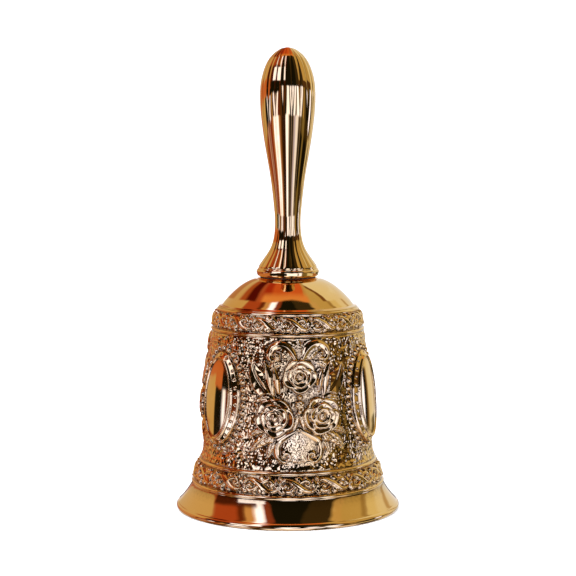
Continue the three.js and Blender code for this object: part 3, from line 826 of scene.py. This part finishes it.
def make_stud():
    """Threaded stud from grip to swivel, with a blind hole in its foot."""
    turn = circle(72)
    z = np.arange(STUD_FOOT, STUD_TOP + 0.01, 0.105)
    shaft = threaded_rings(z, np.minimum(z - STUD_FOOT, STUD_TOP - z), turn,
                           radius=STUD_RADIUS, pitch=1.0, depth=0.5, chamfer=0.55)
    hole = wheel([(0.2, 76.9), (1.45, 76.5), (1.45, STUD_FOOT + 0.25), (1.65, STUD_FOOT)], turn)
    return skin("stud", np.concatenate([hole, shaft]), capped=True, sharp=50)


def make_split_washer():
    """A spring washer: a square section wound once round, its two ends just parted."""
    radius, z = rounded([(3.18, SPRING_FOOT), (5.6, SPRING_FOOT), (5.6, SPRING_TOP),
                         (3.18, SPRING_TOP)], 0.12).T
    sweep = np.linspace(math.radians(7), math.radians(353), 90)[:, None]
    slant = (z - (SPRING_FOOT + SPRING_TOP) / 2) * 0.09
    return skin("split_washer", swung(radius, z, sweep + slant)[::-1], capped=True, sharp=40)


def make_nut(name, flats, bore, low, high, pitch):
    """A chamfered hexagon nut with a countersunk, threaded hole."""
    turn = circle(120)
    side = flats / 2 / np.cos((turn + np.pi / 6) % (np.pi / 3) - np.pi / 6)
    side = np.minimum(side, flats / math.sqrt(3) * 0.992)
    face = flats / 2 * 0.955  # where the flat end meets the chamfer
    drop = np.maximum(0, side - face) * math.tan(math.radians(30))
    sink = bore + 0.45 * pitch
    z = np.arange(low + 0.28, high - 0.27, 0.11)[:, None]
    hole = swung(bore + 0.42 * pitch * thread(z, turn, pitch, 1.0), z, turn)
    outside = [(sink, high), (face, high), (side - 0.04, high - drop), (side, high - drop - 0.09),
               (side, low + drop + 0.09), (side - 0.04, low + drop), (face, low), (sink, low)]
    rings = np.concatenate([hole, [swung(radius, level, turn) for radius, level in outside]])
    return skin(name, rings[::-1], sharp=32)


def make_screw():
    """Slotted shoulder screw: pan head below, plain shoulder, thread up the stud."""
    turn = circle(72)
    head = rounded([(0.25, 64.1, 0), (2.3, 64.1, 0.5), (3.3, 64.75, 0.45), (3.3, 66.1, 0.1),
                    (2.0, 66.1, 0.05), (2.0, STUD_FOOT, 0.08), (1.32, STUD_FOOT, 0.0)],
                   closed=False)
    z = np.arange(68.75, SCREW_TOP, 0.07)
    shaft = threaded_rings(z, SCREW_TOP - z, turn, radius=1.38, pitch=0.5, depth=0.22,
                           chamfer=0.4)
    ob = skin("shoulder_screw", np.concatenate([wheel(head, turn), shaft]), capped=True, sharp=35)
    cut(ob, prism("slot", [(-5, 63.0), (5, 63.0), (5, 64.9), (-5, 64.9)], -0.4, 0.4))
    ob.data.set_sharp_from_angle(angle=math.radians(35))
    return ob


def make_yoke():
    """A brass strap bent to a U, open below, with round ear ends and rounded bends."""
    top, outside = YOKE_UNDER + STRAP, YOKE_INSIDE + STRAP
    foot = PIVOT - YOKE_HALF - 1  # below the ears, which are rounded off later
    bend, inner_bend = 1.9, 0.5
    outline = [(-outside, foot),
               *arc(-outside + bend, top - bend, bend, 180, 90, 7),
               *arc(outside - bend, top - bend, bend, 90, 0, 7),
               (outside, foot), (YOKE_INSIDE, foot),
               *arc(YOKE_INSIDE - inner_bend, YOKE_UNDER - inner_bend, inner_bend, 0, 90, 4),
               *arc(-YOKE_INSIDE + inner_bend, YOKE_UNDER - inner_bend, inner_bend, 90, 180, 4),
               (-YOKE_INSIDE, foot)]
    ob = prism("yoke", outline, -YOKE_HALF, YOKE_HALF, winding=-1)
    ears = [(-YOKE_HALF, 72.0), *arc(0, PIVOT, YOKE_HALF, 180, 360, 24), (YOKE_HALF, 72.0)]
    cut(ob, prism("keep", ears, -12, 12, crosswise=True), "INTERSECT")
    cut(ob, turned("pin_hole", [(1.55, -12), (1.55, 12)], 48, ring=False, crosswise=True))
    cut(ob, turned("swivel_hole", [(2.08, 60), (2.08, 72)], 56, ring=False))
    return soften(ob, 0.22, 3)


def make_pin():
    """The cross pin: head at -X, clip groove near +X."""
    profile = [(0.2, -7.5, 0), (1.9, -7.5, 0.4), (2.5, -6.95, 0.3), (2.5, -6.25, 0.08),
               (1.5, -6.25, 0.05), (1.5, 6.3, 0.05), (1.1, 6.3, 0.05), (1.1, 7.1, 0.05),
               (1.5, 7.1, 0.05), (1.5, 7.65, 0.12), (1.15, 8.0, 0.1), (0.2, 8.0, 0)]
    return turned("cross_pin", rounded(profile, closed=False), 64, ring=False, sharp=35,
                  crosswise=True)


def make_clip():
    """A stamped E-clip: three prongs on the groove, open at the bottom."""
    mouth, middle_x, half_thick = math.radians(33), 6.7, 0.35
    angle = np.linspace(-np.pi / 2 + mouth, 1.5 * np.pi - mouth, 80)
    off_prong = np.min([np.abs((angle - math.radians(prong) + np.pi) % (2 * np.pi) - np.pi)
                        for prong in (90, -32, 212)], axis=0)
    inner = 1.17 + 0.75 * ease((off_prong - 0.26) / 0.2)
    outer_edge, inner_edge = (np.c_[radius * np.cos(angle), PIVOT + radius * np.sin(angle)]
                              for radius in (2.9, inner))
    ob = prism("e_clip", np.vstack([outer_edge, inner_edge[::-1]]), -middle_x - half_thick,
               -middle_x + half_thick, crosswise=True)
    return soften(ob, 0.07, 2)


def make_rod():
    """The clapper's rod: a drum-shaped eye, a flared neck and a threaded foot."""
    turn = circle(64)
    z = np.concatenate([np.arange(5.7, 21.5, 0.09), np.arange(21.7, 53.0, 1.2),
                        np.arange(53.2, 58.4, 0.3)])
    base = np.interp(z, [5.7, 6.1, 21, 22, 53, 54.2, 55.2, 56.2, 57.0, 57.6, 58.4],
                     [1.2, 1.55, 1.55, 1.6, 1.6, 1.68, 1.9, 2.25, 2.6, 2.75, 2.8])
    groove = thread(z[:, None], turn, 0.6, 0.3) * (z < 20.6)[:, None]
    ob = skin("clapper_stem", swung(base[:, None] - groove, z[:, None], turn), capped=True,
              sharp=40)
    drum = rounded([(0.2, -3.0, 0), (3.9, -3.0, 0.35), (3.9, 3.0, 0.35), (0.2, 3.0, 0)],
                   closed=False)
    cut(ob, turned("drum", drum, 72, ring=False, crosswise=True), "UNION")
    eye = [(0.2, -6.0), (2.4, -6.0), (2.4, 6.0), (0.2, 6.0)]
    cut(ob, turned("eye", eye, 56, ring=False, crosswise=True))
    shade(ob, 38)
    return ob


def make_ball():
    """The clapper's ball, with a flat on top and a bore for the rod."""
    flat = math.asin(2.4 / BOB_RADIUS)
    top = BOB_Z + BOB_RADIUS * math.cos(flat)
    profile = [(0.25, 5.5), (1.68, 5.55), (1.68, top - 0.2), (1.85, top)]
    for k in range(45):
        angle = flat + (math.pi - flat) * k / 44
        profile.append((max(BOB_RADIUS * math.sin(angle), 0.25),
                        BOB_Z + BOB_RADIUS * math.cos(angle)))
    return skin("clapper_bob", wheel(profile[::-1], circle(88)), capped=True, sharp=50)


# ---- Materials ----------------------------------------------------------
class Nodes:
    """Short names for the few shader nodes the finishes use."""

    def __init__(self, owner):
        owner.use_nodes = True
        self.owner, self.tree = owner, owner.node_tree
        self.tree.nodes.clear()

    def add(self, kind, inputs=None, **settings):
        """A node, its settings, and its inputs as values, RGB colours or sockets."""
        node = self.tree.nodes.new("ShaderNode" + kind)
        for key, value in settings.items():
            setattr(node, key, value)
        for key, value in (inputs or {}).items():
            socket = node.inputs[key]
            if isinstance(value, bpy.types.NodeSocket):
                self.tree.links.new(value, socket)
            else:
                socket.default_value = (*value, 1.0) if socket.type == "RGBA" else value
        return node

    def math(self, operation, *values):
        return self.add("Math", dict(enumerate(values)), operation=operation).outputs[0]

    def times(self, first, second):
        return self.math("MULTIPLY", first, second)

    def plus(self, first, second):
        return self.math("ADD", first, second)

    def minus(self, first, second):
        return self.math("SUBTRACT", first, second)

    def lifted(self, base, by, where):
        """base, plus `by` where the mask is 1."""
        return self.plus(base, self.times(where, by))

    def mix(self, factor, first, second):
        return self.add("Mix", {0: factor, 6: first, 7: second}, data_type="RGBA").outputs[2]

    def span(self, value, low, high, start=0.0, end=1.0):
        """A smooth step from start to end as value goes from low to high."""
        return self.add("MapRange", dict(enumerate((value, low, high, start, end))),
                        interpolation_type="SMOOTHSTEP").outputs[0]

    def noise(self, vector, scale, detail=3.0, rough=0.55):
        return self.add("TexNoise", {"Vector": vector, "Scale": scale, "Detail": detail,
                                     "Roughness": rough}).outputs["Fac"]

    def stretch(self, vector, x, y, z):
        return self.add("Mapping", {"Vector": vector, "Scale": (x, y, z)}).outputs["Vector"]

    def place(self):
        return self.add("TexCoord").outputs["Object"]

    def attribute(self, name):
        return self.add("Attribute", attribute_name=name).outputs["Fac"]

    def bump(self, height, strength, distance):
        return self.add("Bump", {"Height": height, "Strength": strength,
                                 "Distance": distance}).outputs["Normal"]

    def surface(self, colour, roughness, metallic, **more):
        inputs = {"Base Color": colour, "Roughness": roughness, "Metallic": metallic}
        inputs.update({key.replace("_", " "): value for key, value in more.items()})
        shader = self.add("BsdfPrincipled", inputs)
        self.add("OutputMaterial", {0: shader.outputs[0]})
        return self.owner


def new_material(name):
    return Nodes(bpy.data.materials.new(name))


def gilt_finish(name, painted_shade_strength, inside=False):
    """Bright gold plate: slight drifts of colour, wiping haze and fine scratches, with
    painted shade of strength `painted_shade_strength`: a dark brown where the metal lies low.
    inside: duller within."""
    yellow, deep_yellow, pale_gold = (0.885, 0.545, 0.185), (0.835, 0.485, 0.140), (0.93, 0.64, 0.27)
    # the first colour is painted shade for the recesses; the second is the duller gold inside
    painted_shade_brown, dull_gold = (0.085, 0.034, 0.010), (0.60, 0.36, 0.13)
    t = new_material(name)
    at = t.place()
    drift = t.noise(at, scale=38.0, rough=0.6)
    gold = t.mix(t.span(drift, low=0.35, high=0.68), yellow, deep_yellow)
    pale = t.noise(at, scale=210.0, detail=2.0, rough=0.5)
    gold = t.mix(t.times(t.span(pale, low=0.58, high=0.8), 0.35), gold, pale_gold)
    # painted shade: the hollow attribute, scaled and broken up by noise, darkens low metal towards
    # dark brown
    low = t.times(t.attribute("hollow"), painted_shade_strength)
    specks = t.span(t.noise(at, scale=900.0, detail=2.0, rough=0.6), low=0.3, high=0.7)
    low = t.times(low, t.plus(t.times(specks, 0.45), 0.55))
    colour = t.mix(low, gold, painted_shade_brown)
    haze = t.noise(t.stretch(at, 1.0, 1.0, 0.35), scale=60.0, detail=4.0, rough=0.62)
    rough = t.lifted(base=0.035, by=0.055, where=t.span(haze, low=0.42, high=0.75))
    rough = t.plus(rough, t.times(low, 0.05))
    scratch = t.noise(t.stretch(at, 1.0, 1.0, 14.0), scale=300.0, detail=2.0, rough=0.5)
    normal = t.bump(scratch, strength=0.012, distance=0.00006)
    if inside:
        within = t.attribute("inside")
        colour = t.mix(within, colour, dull_gold)
        lathe = t.noise(t.stretch(at, 0.4, 0.4, 22.0), scale=90.0, rough=0.6)
        rough = t.plus(rough, t.times(within, t.lifted(base=0.22, by=0.16, where=lathe)))
    return t.surface(colour, rough, metallic=1.0, Normal=normal)


def turned_brass(name):
    light, dark, spot = (0.66, 0.44, 0.17), (0.52, 0.33, 0.13), (0.23, 0.13, 0.06)
    t = new_material(name)
    at = t.place()
    tone = t.noise(at, scale=130.0, detail=4.0, rough=0.6)
    colour = t.mix(t.span(tone, low=0.35, high=0.7), light, dark)
    spots = t.span(t.noise(at, scale=520.0), low=0.66, high=0.75)
    colour = t.mix(t.times(spots, 0.6), colour, spot)
    lathe = t.noise(t.stretch(at, 0.6, 0.6, 16.0), scale=620.0, detail=2.0, rough=0.5)
    rough = t.lifted(base=0.2, by=0.16, where=t.span(tone, low=0.3, high=0.75))
    return t.surface(colour, rough, metallic=1.0,
                     Normal=t.bump(lathe, strength=0.18, distance=0.00008))


def zinc_steel(name):
    light, dark, warm_tint = (0.60, 0.61, 0.63), (0.47, 0.47, 0.47), (0.56, 0.50, 0.38)
    t = new_material(name)
    at = t.place()
    spangle = t.noise(at, scale=340.0, rough=0.6)
    colour = t.mix(t.span(spangle, low=0.35, high=0.7), light, dark)
    warm = t.span(t.noise(at, scale=75.0, detail=2.0, rough=0.5), low=0.55, high=0.75)
    colour = t.mix(t.times(warm, 0.35), colour, warm_tint)
    rough = t.lifted(base=0.22, by=0.2, where=spangle)
    grain = t.noise(at, scale=1500.0, rough=0.6)
    return t.surface(colour, rough, metallic=1.0,
                     Normal=t.bump(grain, strength=0.12, distance=0.00006))


def washer_leather(name):
    dark, light = (0.055, 0.024, 0.011), (0.12, 0.055, 0.024)
    t = new_material(name)
    grain = t.noise(t.place(), scale=900.0, detail=5.0, rough=0.7)
    colour = t.mix(t.span(grain, low=0.3, high=0.7), dark, light)
    return t.surface(colour, t.lifted(base=0.6, by=0.25, where=grain), metallic=0.0,
                     Normal=t.bump(grain, strength=0.5, distance=0.00015))


def turned_nylon(name):
    light, dark = (0.74, 0.69, 0.58), (0.62, 0.56, 0.45)
    t = new_material(name)
    at = t.place()
    cloud = t.noise(at, scale=260.0, rough=0.5)
    colour = t.mix(t.span(cloud, low=0.3, high=0.7), light, dark)
    rings = t.noise(t.stretch(at, 0.5, 0.5, 18.0), scale=700.0, detail=2.0, rough=0.5)
    return t.surface(colour, t.lifted(base=0.36, by=0.15, where=cloud), metallic=0.0,
                     Normal=t.bump(rings, strength=0.2, distance=0.00008),
                     Subsurface_Weight=0.12, Subsurface_Radius=(0.002, 0.0016, 0.001))


GILT = gilt_finish("gilt_cast", painted_shade_strength=0.9, inside=True)
GILT_GRIP = gilt_finish("gilt_grip", painted_shade_strength=0.4)
BRASS = turned_brass("turned_brass")
STEEL = zinc_steel("zinc_steel")
LEATHER = washer_leather("leather")
NYLON = turned_nylon("nylon")

# ---- The bell, piece by piece -------------------------------------------
# maker, body it moves with, node it replaces, slot, finish
PIECES = [
    (make_shell, "bell", "bell_shell", "gilt", GILT),
    (make_grip, "bell", "handle_grip", "gilt", GILT_GRIP),
    (make_collar, "bell", "handle_collar", "gilt", GILT_GRIP),
    (make_seat, "bell", "seat_washer", "leather", LEATHER),
    (make_stud, "bell", "crown_stud", "steel", STEEL),
    (lambda: collar_ring("flat_washer", 3.2, 9.0, FLAT_WASHER_FOOT, CROWN_UNDER, 0.14, 96),
     "bell", "crown_washer", "steel", STEEL),
    (make_split_washer, "bell", "spring_washer", "steel", STEEL),
    (lambda: make_nut("nut_m6", flats=10.0, bore=3.08, low=CROWN_NUT_FOOT, high=CROWN_NUT_TOP,
                      pitch=1.0), "bell", "crown_nut", "steel", STEEL),
    (lambda: collar_ring("thrust_washer", 2.15, 5.2, 67.85, STUD_FOOT, 0.1, 80),
     "bell", "swivel_washer", "nylon", NYLON),
    (make_screw, "bell", "swivel_screw", "steel", STEEL),
    (make_yoke, "yoke", "clapper_yoke", "brass_fitting", BRASS),
    (make_pin, "yoke", "pivot_pin", "steel", STEEL),
    (make_clip, "yoke", "pin_clip", "steel", STEEL),
    (lambda: collar_ring("spacer_a", 1.6, 2.9, -4.55, -3.15, 0.15, 64, crosswise=True),
     "yoke", "spacer_left", "brass_fitting", BRASS),
    (lambda: collar_ring("spacer_b", 1.6, 2.9, 3.15, 4.55, 0.15, 64, crosswise=True),
     "yoke", "spacer_right", "brass_fitting", BRASS),
    (lambda: collar_ring("bush", 1.6, 2.35, -3.05, 3.05, 0.1, 64, crosswise=True),
     "clapper", "eye_bush", "nylon", NYLON),
    (make_rod, "clapper", "clapper_rod", "brass_fitting", BRASS),
    (make_ball, "clapper", "clapper_ball", "brass_fitting", BRASS),
    (lambda: make_nut("nut_clapper", flats=6.4, bore=1.68, low=15.77, high=18.37, pitch=0.6),
     "clapper", "clapper_nut", "steel", STEEL),
]
for make, body, node_name, slot_name, finish in PIECES:
    piece = make()
    piece.data.materials.clear()
    piece.data.materials.append(finish)
    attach(piece, body)
    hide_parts(node_name)

# ---- Stage, light and camera --------------------------------------------
AZIMUTH = math.radians(-7.0)  # the camera stands a little towards -X
CAMERA_DISTANCE, CAMERA_HEIGHT = 0.5823, 0.1334  # metres
CAMERA_DIP = 0.095  # radians below level
scene = bpy.context.scene


def make_camera():
    data = bpy.data.cameras.new("camera")
    data.sensor_width = 36.0
    data.lens = 103.475
    data.shift_x = 0.00035
    data.clip_start = 0.01
    ob = bpy.data.objects.new("camera", data)
    scene.collection.objects.link(ob)
    ob.location = (CAMERA_DISTANCE * math.sin(AZIMUTH), -CAMERA_DISTANCE * math.cos(AZIMUTH),
                   CAMERA_HEIGHT)
    ob.rotation_euler = (math.radians(90) - CAMERA_DIP, 0, AZIMUTH)
    scene.camera = ob


def make_floor():
    """Floor that curves up into a backdrop well behind the bell."""
    # (y, z) before it is turned to the camera
    section = [(-2500, 0), *arc(1200, 800, 800, -90, 0, 12), (2000, 3000)]
    verts = [(x, y, z - 0.02) for y, z in section for x in (-3000, 3000)]
    steps = len(section) - 1
    loops = [2 * k + corner for k in range(steps) for corner in (0, 1, 3, 2)]
    ob = as_object("floor", verts, loops, [4] * steps)
    ob.rotation_euler = (0, 0, AZIMUTH)
    t = new_material("paper")
    fibre = t.noise(t.place(), scale=900.0, detail=4.0, rough=0.6)
    light, dark = (0.90, 0.90, 0.895), (0.885, 0.885, 0.88)
    colour = t.mix(t.span(fibre, low=0.3, high=0.7), light, dark)
    ob.data.materials.append(t.surface(colour, roughness=0.85, metallic=0.0,
                                       Specular_IOR_Level=0.1))
    ob.visible_glossy = False


def softbox(name, azimuth, elevation, distance, size, power):
    """A soft lamp aimed at the bell, from azimuth degrees right of the camera and
    elevation up, unseen in the plate."""
    data = bpy.data.lights.new(name, "AREA")
    data.shape = "RECTANGLE"
    data.size, data.size_y = size
    data.energy = power
    ob = bpy.data.objects.new(name, data)
    turn, tilt = math.radians(azimuth) + AZIMUTH, math.radians(elevation)
    away = Vector((math.sin(turn) * math.cos(tilt), -math.cos(turn) * math.cos(tilt),
                   math.sin(tilt))) * distance
    ob.location = away + Vector((0, 0, 0.06))
    ob.rotation_euler = away.to_track_quat("Z", "Y").to_euler()
    scene.collection.objects.link(ob)
    ob.visible_glossy = False


make_camera()
make_floor()
softbox("key", azimuth=-35, elevation=58, distance=1.6, size=(1.4, 1.4), power=26)
softbox("fill", azimuth=60, elevation=35, distance=1.8, size=(1.6, 1.6), power=14)
softbox("back", azimuth=180, elevation=45, distance=1.8, size=(2.0, 1.2), power=16)

# ---- The room the plate mirrors -----------------------------------------
# It is laid out by the direction a surface faces when it shows it to the camera: turn
# (degrees right of the camera) and tilt (degrees up). Narrow windows in a dark opening
# at the camera's side, warm walls to the left and overhead, tan and pale ones to the
# right. Rows of bands are (where the colour starts, RGB).
TAN, GOLD, PALE = (0.65, 0.52, 0.33), (0.58, 0.50, 0.28), (0.84, 0.90, 0.92)
OLIVE, MUD, BLACK = (0.23, 0.205, 0.11), (0.045, 0.034, 0.018), (0.010, 0.010, 0.006)
RED, BROWN = (0.43, 0.090, 0.038), (0.45, 0.27, 0.20)
RUST, MAROON = (0.15, 0.033, 0.010), (0.09, 0.006, 0.003)
WHITE, LILAC, CLAY = (1.6, 2.1, 5.2), (0.55, 0.66, 1.9), (0.60, 0.27, 0.14)
CAMERA_WHITE = (0.92, 0.92, 0.92)
TO_DEGREES = 57.29578


class Room(Nodes):
    """The world's nodes, with the turn and tilt that each direction stands for."""

    def __init__(self, world):
        super().__init__(world)
        generated = self.add("TexCoord").outputs["Generated"]
        self.seen = self.add("VectorRotate", {"Vector": generated, "Angle": -AZIMUTH},
                             rotation_type="Z_AXIS").outputs[0]
        view = math.radians(8.0)
        half = self.vector("ADD", self.seen, (0.0, -math.cos(view), math.sin(view))).outputs[0]
        self.reach = self.vector("LENGTH", half).outputs["Value"]
        unit = self.vector("NORMALIZE", half).outputs[0]
        x, y, z = self.add("SeparateXYZ", {0: unit}).outputs
        # a slight waver in the edges, in degrees
        waver = self.noise(self.seen, scale=2.6, detail=2.0, rough=0.5)
        waver = self.times(self.minus(waver, 0.5), 4.0)
        turn = self.times(self.math("ARCTAN2", x, self.times(y, -1.0)), TO_DEGREES)
        self.turn = self.plus(turn, waver)
        tilt = self.times(self.math("ARCSINE", z), TO_DEGREES)
        self.tilt = self.plus(tilt, self.times(waver, 0.5))

    def vector(self, operation, *values):
        return self.add("VectorMath", dict(enumerate(values)), operation=operation)

    def bands(self, at, first, stops, soft):
        """Bands of colour over -180 to 180 degrees; soft is half the width of an edge."""
        places = [(-180.0, first)]
        for start, colour in stops:
            places += [(start - soft, places[-1][1]), (start + soft, colour)]
        node = self.add("ValToRGB", {0: self.math("DIVIDE", self.plus(at, 180.0), 360.0)})
        elements = node.color_ramp.elements
        while len(elements) < len(places):
            elements.new(1.0)
        for i, (place, colour) in enumerate(places):
            elements[i].position = (place + 180.0) / 360.0
            elements[i].color = (*colour, 1.0)
        return node.outputs[0]

    def halves(self, split, left, right):
        return self.mix(self.math("GREATER_THAN", self.turn, split), left, right)

    def within(self, value, low, high, soft):
        return self.times(self.span(value, low - soft, low + soft),
                          self.span(value, high - soft, high + soft, 1.0, 0.0))

    def card(self, left, right, low, high, soft, tilt_soft=None):
        """1 inside a box from left to right in turn and low to high in tilt."""
        return self.times(self.within(self.turn, left, right, soft),
                          self.within(self.tilt, low, high, tilt_soft or soft))

    def leaning(self, slope):
        """The turn, leaning with the tilt either side of 36 degrees."""
        lean = self.times(self.minus(self.tilt, 36.0), slope)
        return self.plus(self.turn, lean)


def eye_lower(room):
    """Eye level, lower storey."""
    left = room.bands(room.turn, (0.42, 0.13, 0.06), [
        (-66, (0.42, 0.115, 0.05)), (-57, (0.22, 0.045, 0.015)), (-51.5, (0.56, 0.40, 0.62)),
        (-45, (0.26, 0.05, 0.025)), (-37, (0.50, 0.27, 0.18)), (-31.5, WHITE), (-21, BROWN),
        (-15.5, (0.16, 0.07, 0.03)), (-11.5, (0.04, 0.018, 0.01)), (-6, WHITE),
        (1.5, (0.30, 0.30, 0.50)), (4.5, BLACK)], soft=0.6)
    right = room.bands(room.turn, BLACK, [
        (9, (0.26, 0.25, 0.36)), (12.5, LILAC), (17, (1.1, 1.4, 3.2)), (25, (0.15, 0.13, 0.11)),
        (29.5, (0.10, 0.085, 0.04)), (33, OLIVE), (40, (0.06, 0.045, 0.015)),
        (52.5, (0.20, 0.17, 0.08)), (57, PALE), (62, (0.24, 0.21, 0.15)),
        (66, (0.12, 0.105, 0.05)), (75, PALE), (110, TAN)], soft=0.6)
    dark = room.math("MAXIMUM", room.card(28, 36, -6.8, -3.0, soft=0.5),
                     room.card(41, 56, -7.5, -3.4, soft=0.7))
    return room.mix(dark, room.halves(6.5, left, right), BLACK)


def eye_upper(room):
    """Eye level, upper storey."""
    left = room.bands(room.turn, CLAY, [
        (-73, TAN), (-54, BLACK), (-43.5, WHITE), (-40.5, RUST), (-36, (0.80, 0.60, 0.40)),
        (-34, BLACK), (-31, RUST), (-28, WHITE), (-23, RUST), (-16.5, (0.10, 0.05, 0.03)),
        (-9, BLACK), (-4, WHITE), (5.5, BLACK)], soft=0.6)
    right = room.bands(room.turn, BLACK, [
        (10, WHITE), (15.5, (0.10, 0.08, 0.05)), (19.5, WHITE), (28, (0.13, 0.105, 0.05)),
        (33, (0.50, 0.40, 0.22)), (37, (0.10, 0.08, 0.04)), (43, BLACK), (50, WHITE),
        (55.5, BLACK), (60, (0.2, 0.14, 0.07)), (63, PALE), (75, (0.55, 0.45, 0.28)),
        (80, PALE), (110, TAN)], soft=0.6)
    colour = room.halves(6.5, left, right)
    colour = room.mix(room.card(-46, -39, 7.2, 14, soft=0.6), colour, BLACK)
    warm = room.math("MAXIMUM", room.card(-90, -45, 8.2, 14, soft=0.5),
                     room.card(-56, -45, 6.8, 14, soft=0.5))
    colour = room.mix(warm, colour, (0.62, 0.22, 0.11))
    return room.mix(room.card(-44, -17, 6.8, 16, soft=0.6), colour, BLACK)


def below_eye(room):
    """A little below eye level."""
    return room.bands(room.turn, CLAY, [
        (-35, BLACK), (-1, WHITE), (18.5, BLACK), (21, WHITE), (26, OLIVE), (38, PALE),
        (54, (0.42, 0.20, 0.10)), (68, PALE), (110, TAN)], soft=0.8)


def table(room):
    """Well below eye level, a pale table."""
    colour = room.bands(room.turn, TAN, [
        (-62, (0.45, 0.24, 0.12)), (-46, (0.10, 0.04, 0.02)), (-32, (0.9, 0.95, 1.8)),
        (-20, MUD), (-12, (1.1, 1.2, 2.2)), (12, BLACK), (24, (0.9, 0.95, 1.6)), (38, MUD),
        (54, PALE), (110, TAN)], soft=2.0)
    return room.mix(room.span(room.tilt, low=-34, high=-60), colour, (0.30, 0.25, 0.18))


def above_eye(room):
    """Above eye level, where the edges lean."""
    left = room.bands(room.leaning(-0.28), TAN, [
        (-44, RED), (-28, RUST), (-23.5, (0.65, 0.41, 0.24)), (-18, WHITE),
        (-12.5, (0.26, 0.06, 0.035)), (-8, BLACK), (4, BLACK)], soft=0.7)
    right = room.bands(room.leaning(0.4), BLACK, [
        (8, MUD), (24, (0.62, 0.50, 0.30)), (30, GOLD), (43, (0.38, 0.30, 0.15)),
        (47, (0.78, 0.78, 0.62)), (55, PALE), (64, (0.55, 0.46, 0.3)), (68, PALE),
        (110, TAN)], soft=1.0)
    colour = room.halves(3.0, left, right)
    foot = room.times(room.span(room.turn, 55, 57, 1, 0), room.span(room.tilt, 15, 16.5, 1, 0))
    foot = room.times(room.span(room.turn, 27, 29), foot)
    colour = room.mix(foot, colour, (0.09, 0.05, 0.025))
    dark = room.card(-46, -18, 10.0, 29.0, soft=1.0, tilt_soft=2.0)
    colour = room.mix(dark, colour, (0.09, 0.022, 0.009))
    colour = room.mix(room.card(-30, -13, 15.0, 26.5, soft=0.8), colour, WHITE)
    colour = room.mix(room.card(-39, -16, 9.0, 15.0, soft=0.8), colour, BLACK)
    warm = room.math("MAXIMUM", room.card(-74, -45, 4.0, 19.0, soft=1.5),
                     room.card(-95, -60, 4.0, 16.5, soft=1.2))
    return room.mix(warm, colour, (0.60, 0.20, 0.09))


def overhead(room):
    left = room.bands(room.turn, (0.50, 0.26, 0.13), [
        (-66, TAN), (-55, (0.42, 0.11, 0.04)), (-46, MAROON), (-33, (0.45, 0.12, 0.06)),
        (-28, (0.40, 0.04, 0.015)), (-18, (0.62, 0.13, 0.04))], soft=2.2)
    right = room.bands(room.turn, (0.66, 0.15, 0.05), [
        (18, (0.55, 0.40, 0.20)), (21, GOLD), (30, GOLD), (110, TAN)], soft=1.0)
    colour = room.halves(0.0, left, right)
    glow = room.times(room.span(room.tilt, low=53, high=46),
                      room.card(-27, 22, 30, 60, soft=3.0))
    colour = room.mix(glow, colour, (0.80, 0.36, 0.15))
    # to the right, a dark seam and then a pale wall, along a slant of turn plus tilt
    slant = room.plus(room.times(room.tilt, 1.0), room.turn)
    for low, high, beyond in ((79.5, 81.5, (0.20, 0.10, 0.03)), (84.5, 86, PALE)):
        edge = room.times(room.span(slant, low, high), room.span(room.turn, low=20, high=24))
        colour = room.mix(edge, colour, beyond)
    return colour


def behind(room):
    """Behind the bell, seen only from other sides: bands by height."""
    z = room.add("SeparateXYZ", {0: room.seen}).outputs[2]
    height = room.times(room.math("ARCSINE", z), TO_DEGREES)
    return room.bands(height, (0.55, 0.50, 0.42), [
        (-14, (0.10, 0.07, 0.04)), (-4, (1.2, 1.25, 1.5)), (10, (0.5, 0.36, 0.2)), (24, TAN),
        (60, PALE)], soft=3.0)


def make_room():
    """Stacks the levels by tilt. The camera itself and diffuse light see plain white."""
    world = bpy.data.worlds.new("studio")
    scene.world = world
    room = Room(world)
    tilt = room.tilt
    eye = room.mix(room.span(tilt, low=-1.5, high=-0.6), eye_lower(room), eye_upper(room))
    colour = room.mix(room.span(tilt, low=-20.5, high=-18.5), table(room), below_eye(room))
    colour = room.mix(room.span(tilt, low=-11.2, high=-10.2), colour, eye)
    colour = room.mix(room.span(tilt, low=9.4, high=10.6), colour, above_eye(room))

    def off_middle():
        return room.math("ABSOLUTE", room.minus(room.turn, 4.0))

    # the overhead edge sags by up to 2 degrees to either side
    sag = room.times(room.times(off_middle(), off_middle()), 0.008)
    edge = room.minus(46.0, room.math("MINIMUM", sag, 2.0))
    above = room.span(room.minus(tilt, edge), low=-0.8, high=0.8)
    colour = room.mix(above, colour, overhead(room))
    colour = room.mix(room.span(room.reach, low=0.42, high=0.14), colour, behind(room))
    path = room.add("LightPath").outputs
    plain = room.math("MAXIMUM", path["Is Camera Ray"], path["Is Diffuse Ray"])
    colour = room.mix(plain, colour, CAMERA_WHITE)
    background = room.add("Background", {"Color": colour, "Strength": 1.0})
    room.add("OutputWorld", {0: background.outputs[0]})


make_room()
scene.view_settings.view_transform = "Standard"
scene.view_settings.look = "None"
scene.view_settings.exposure = 0.0
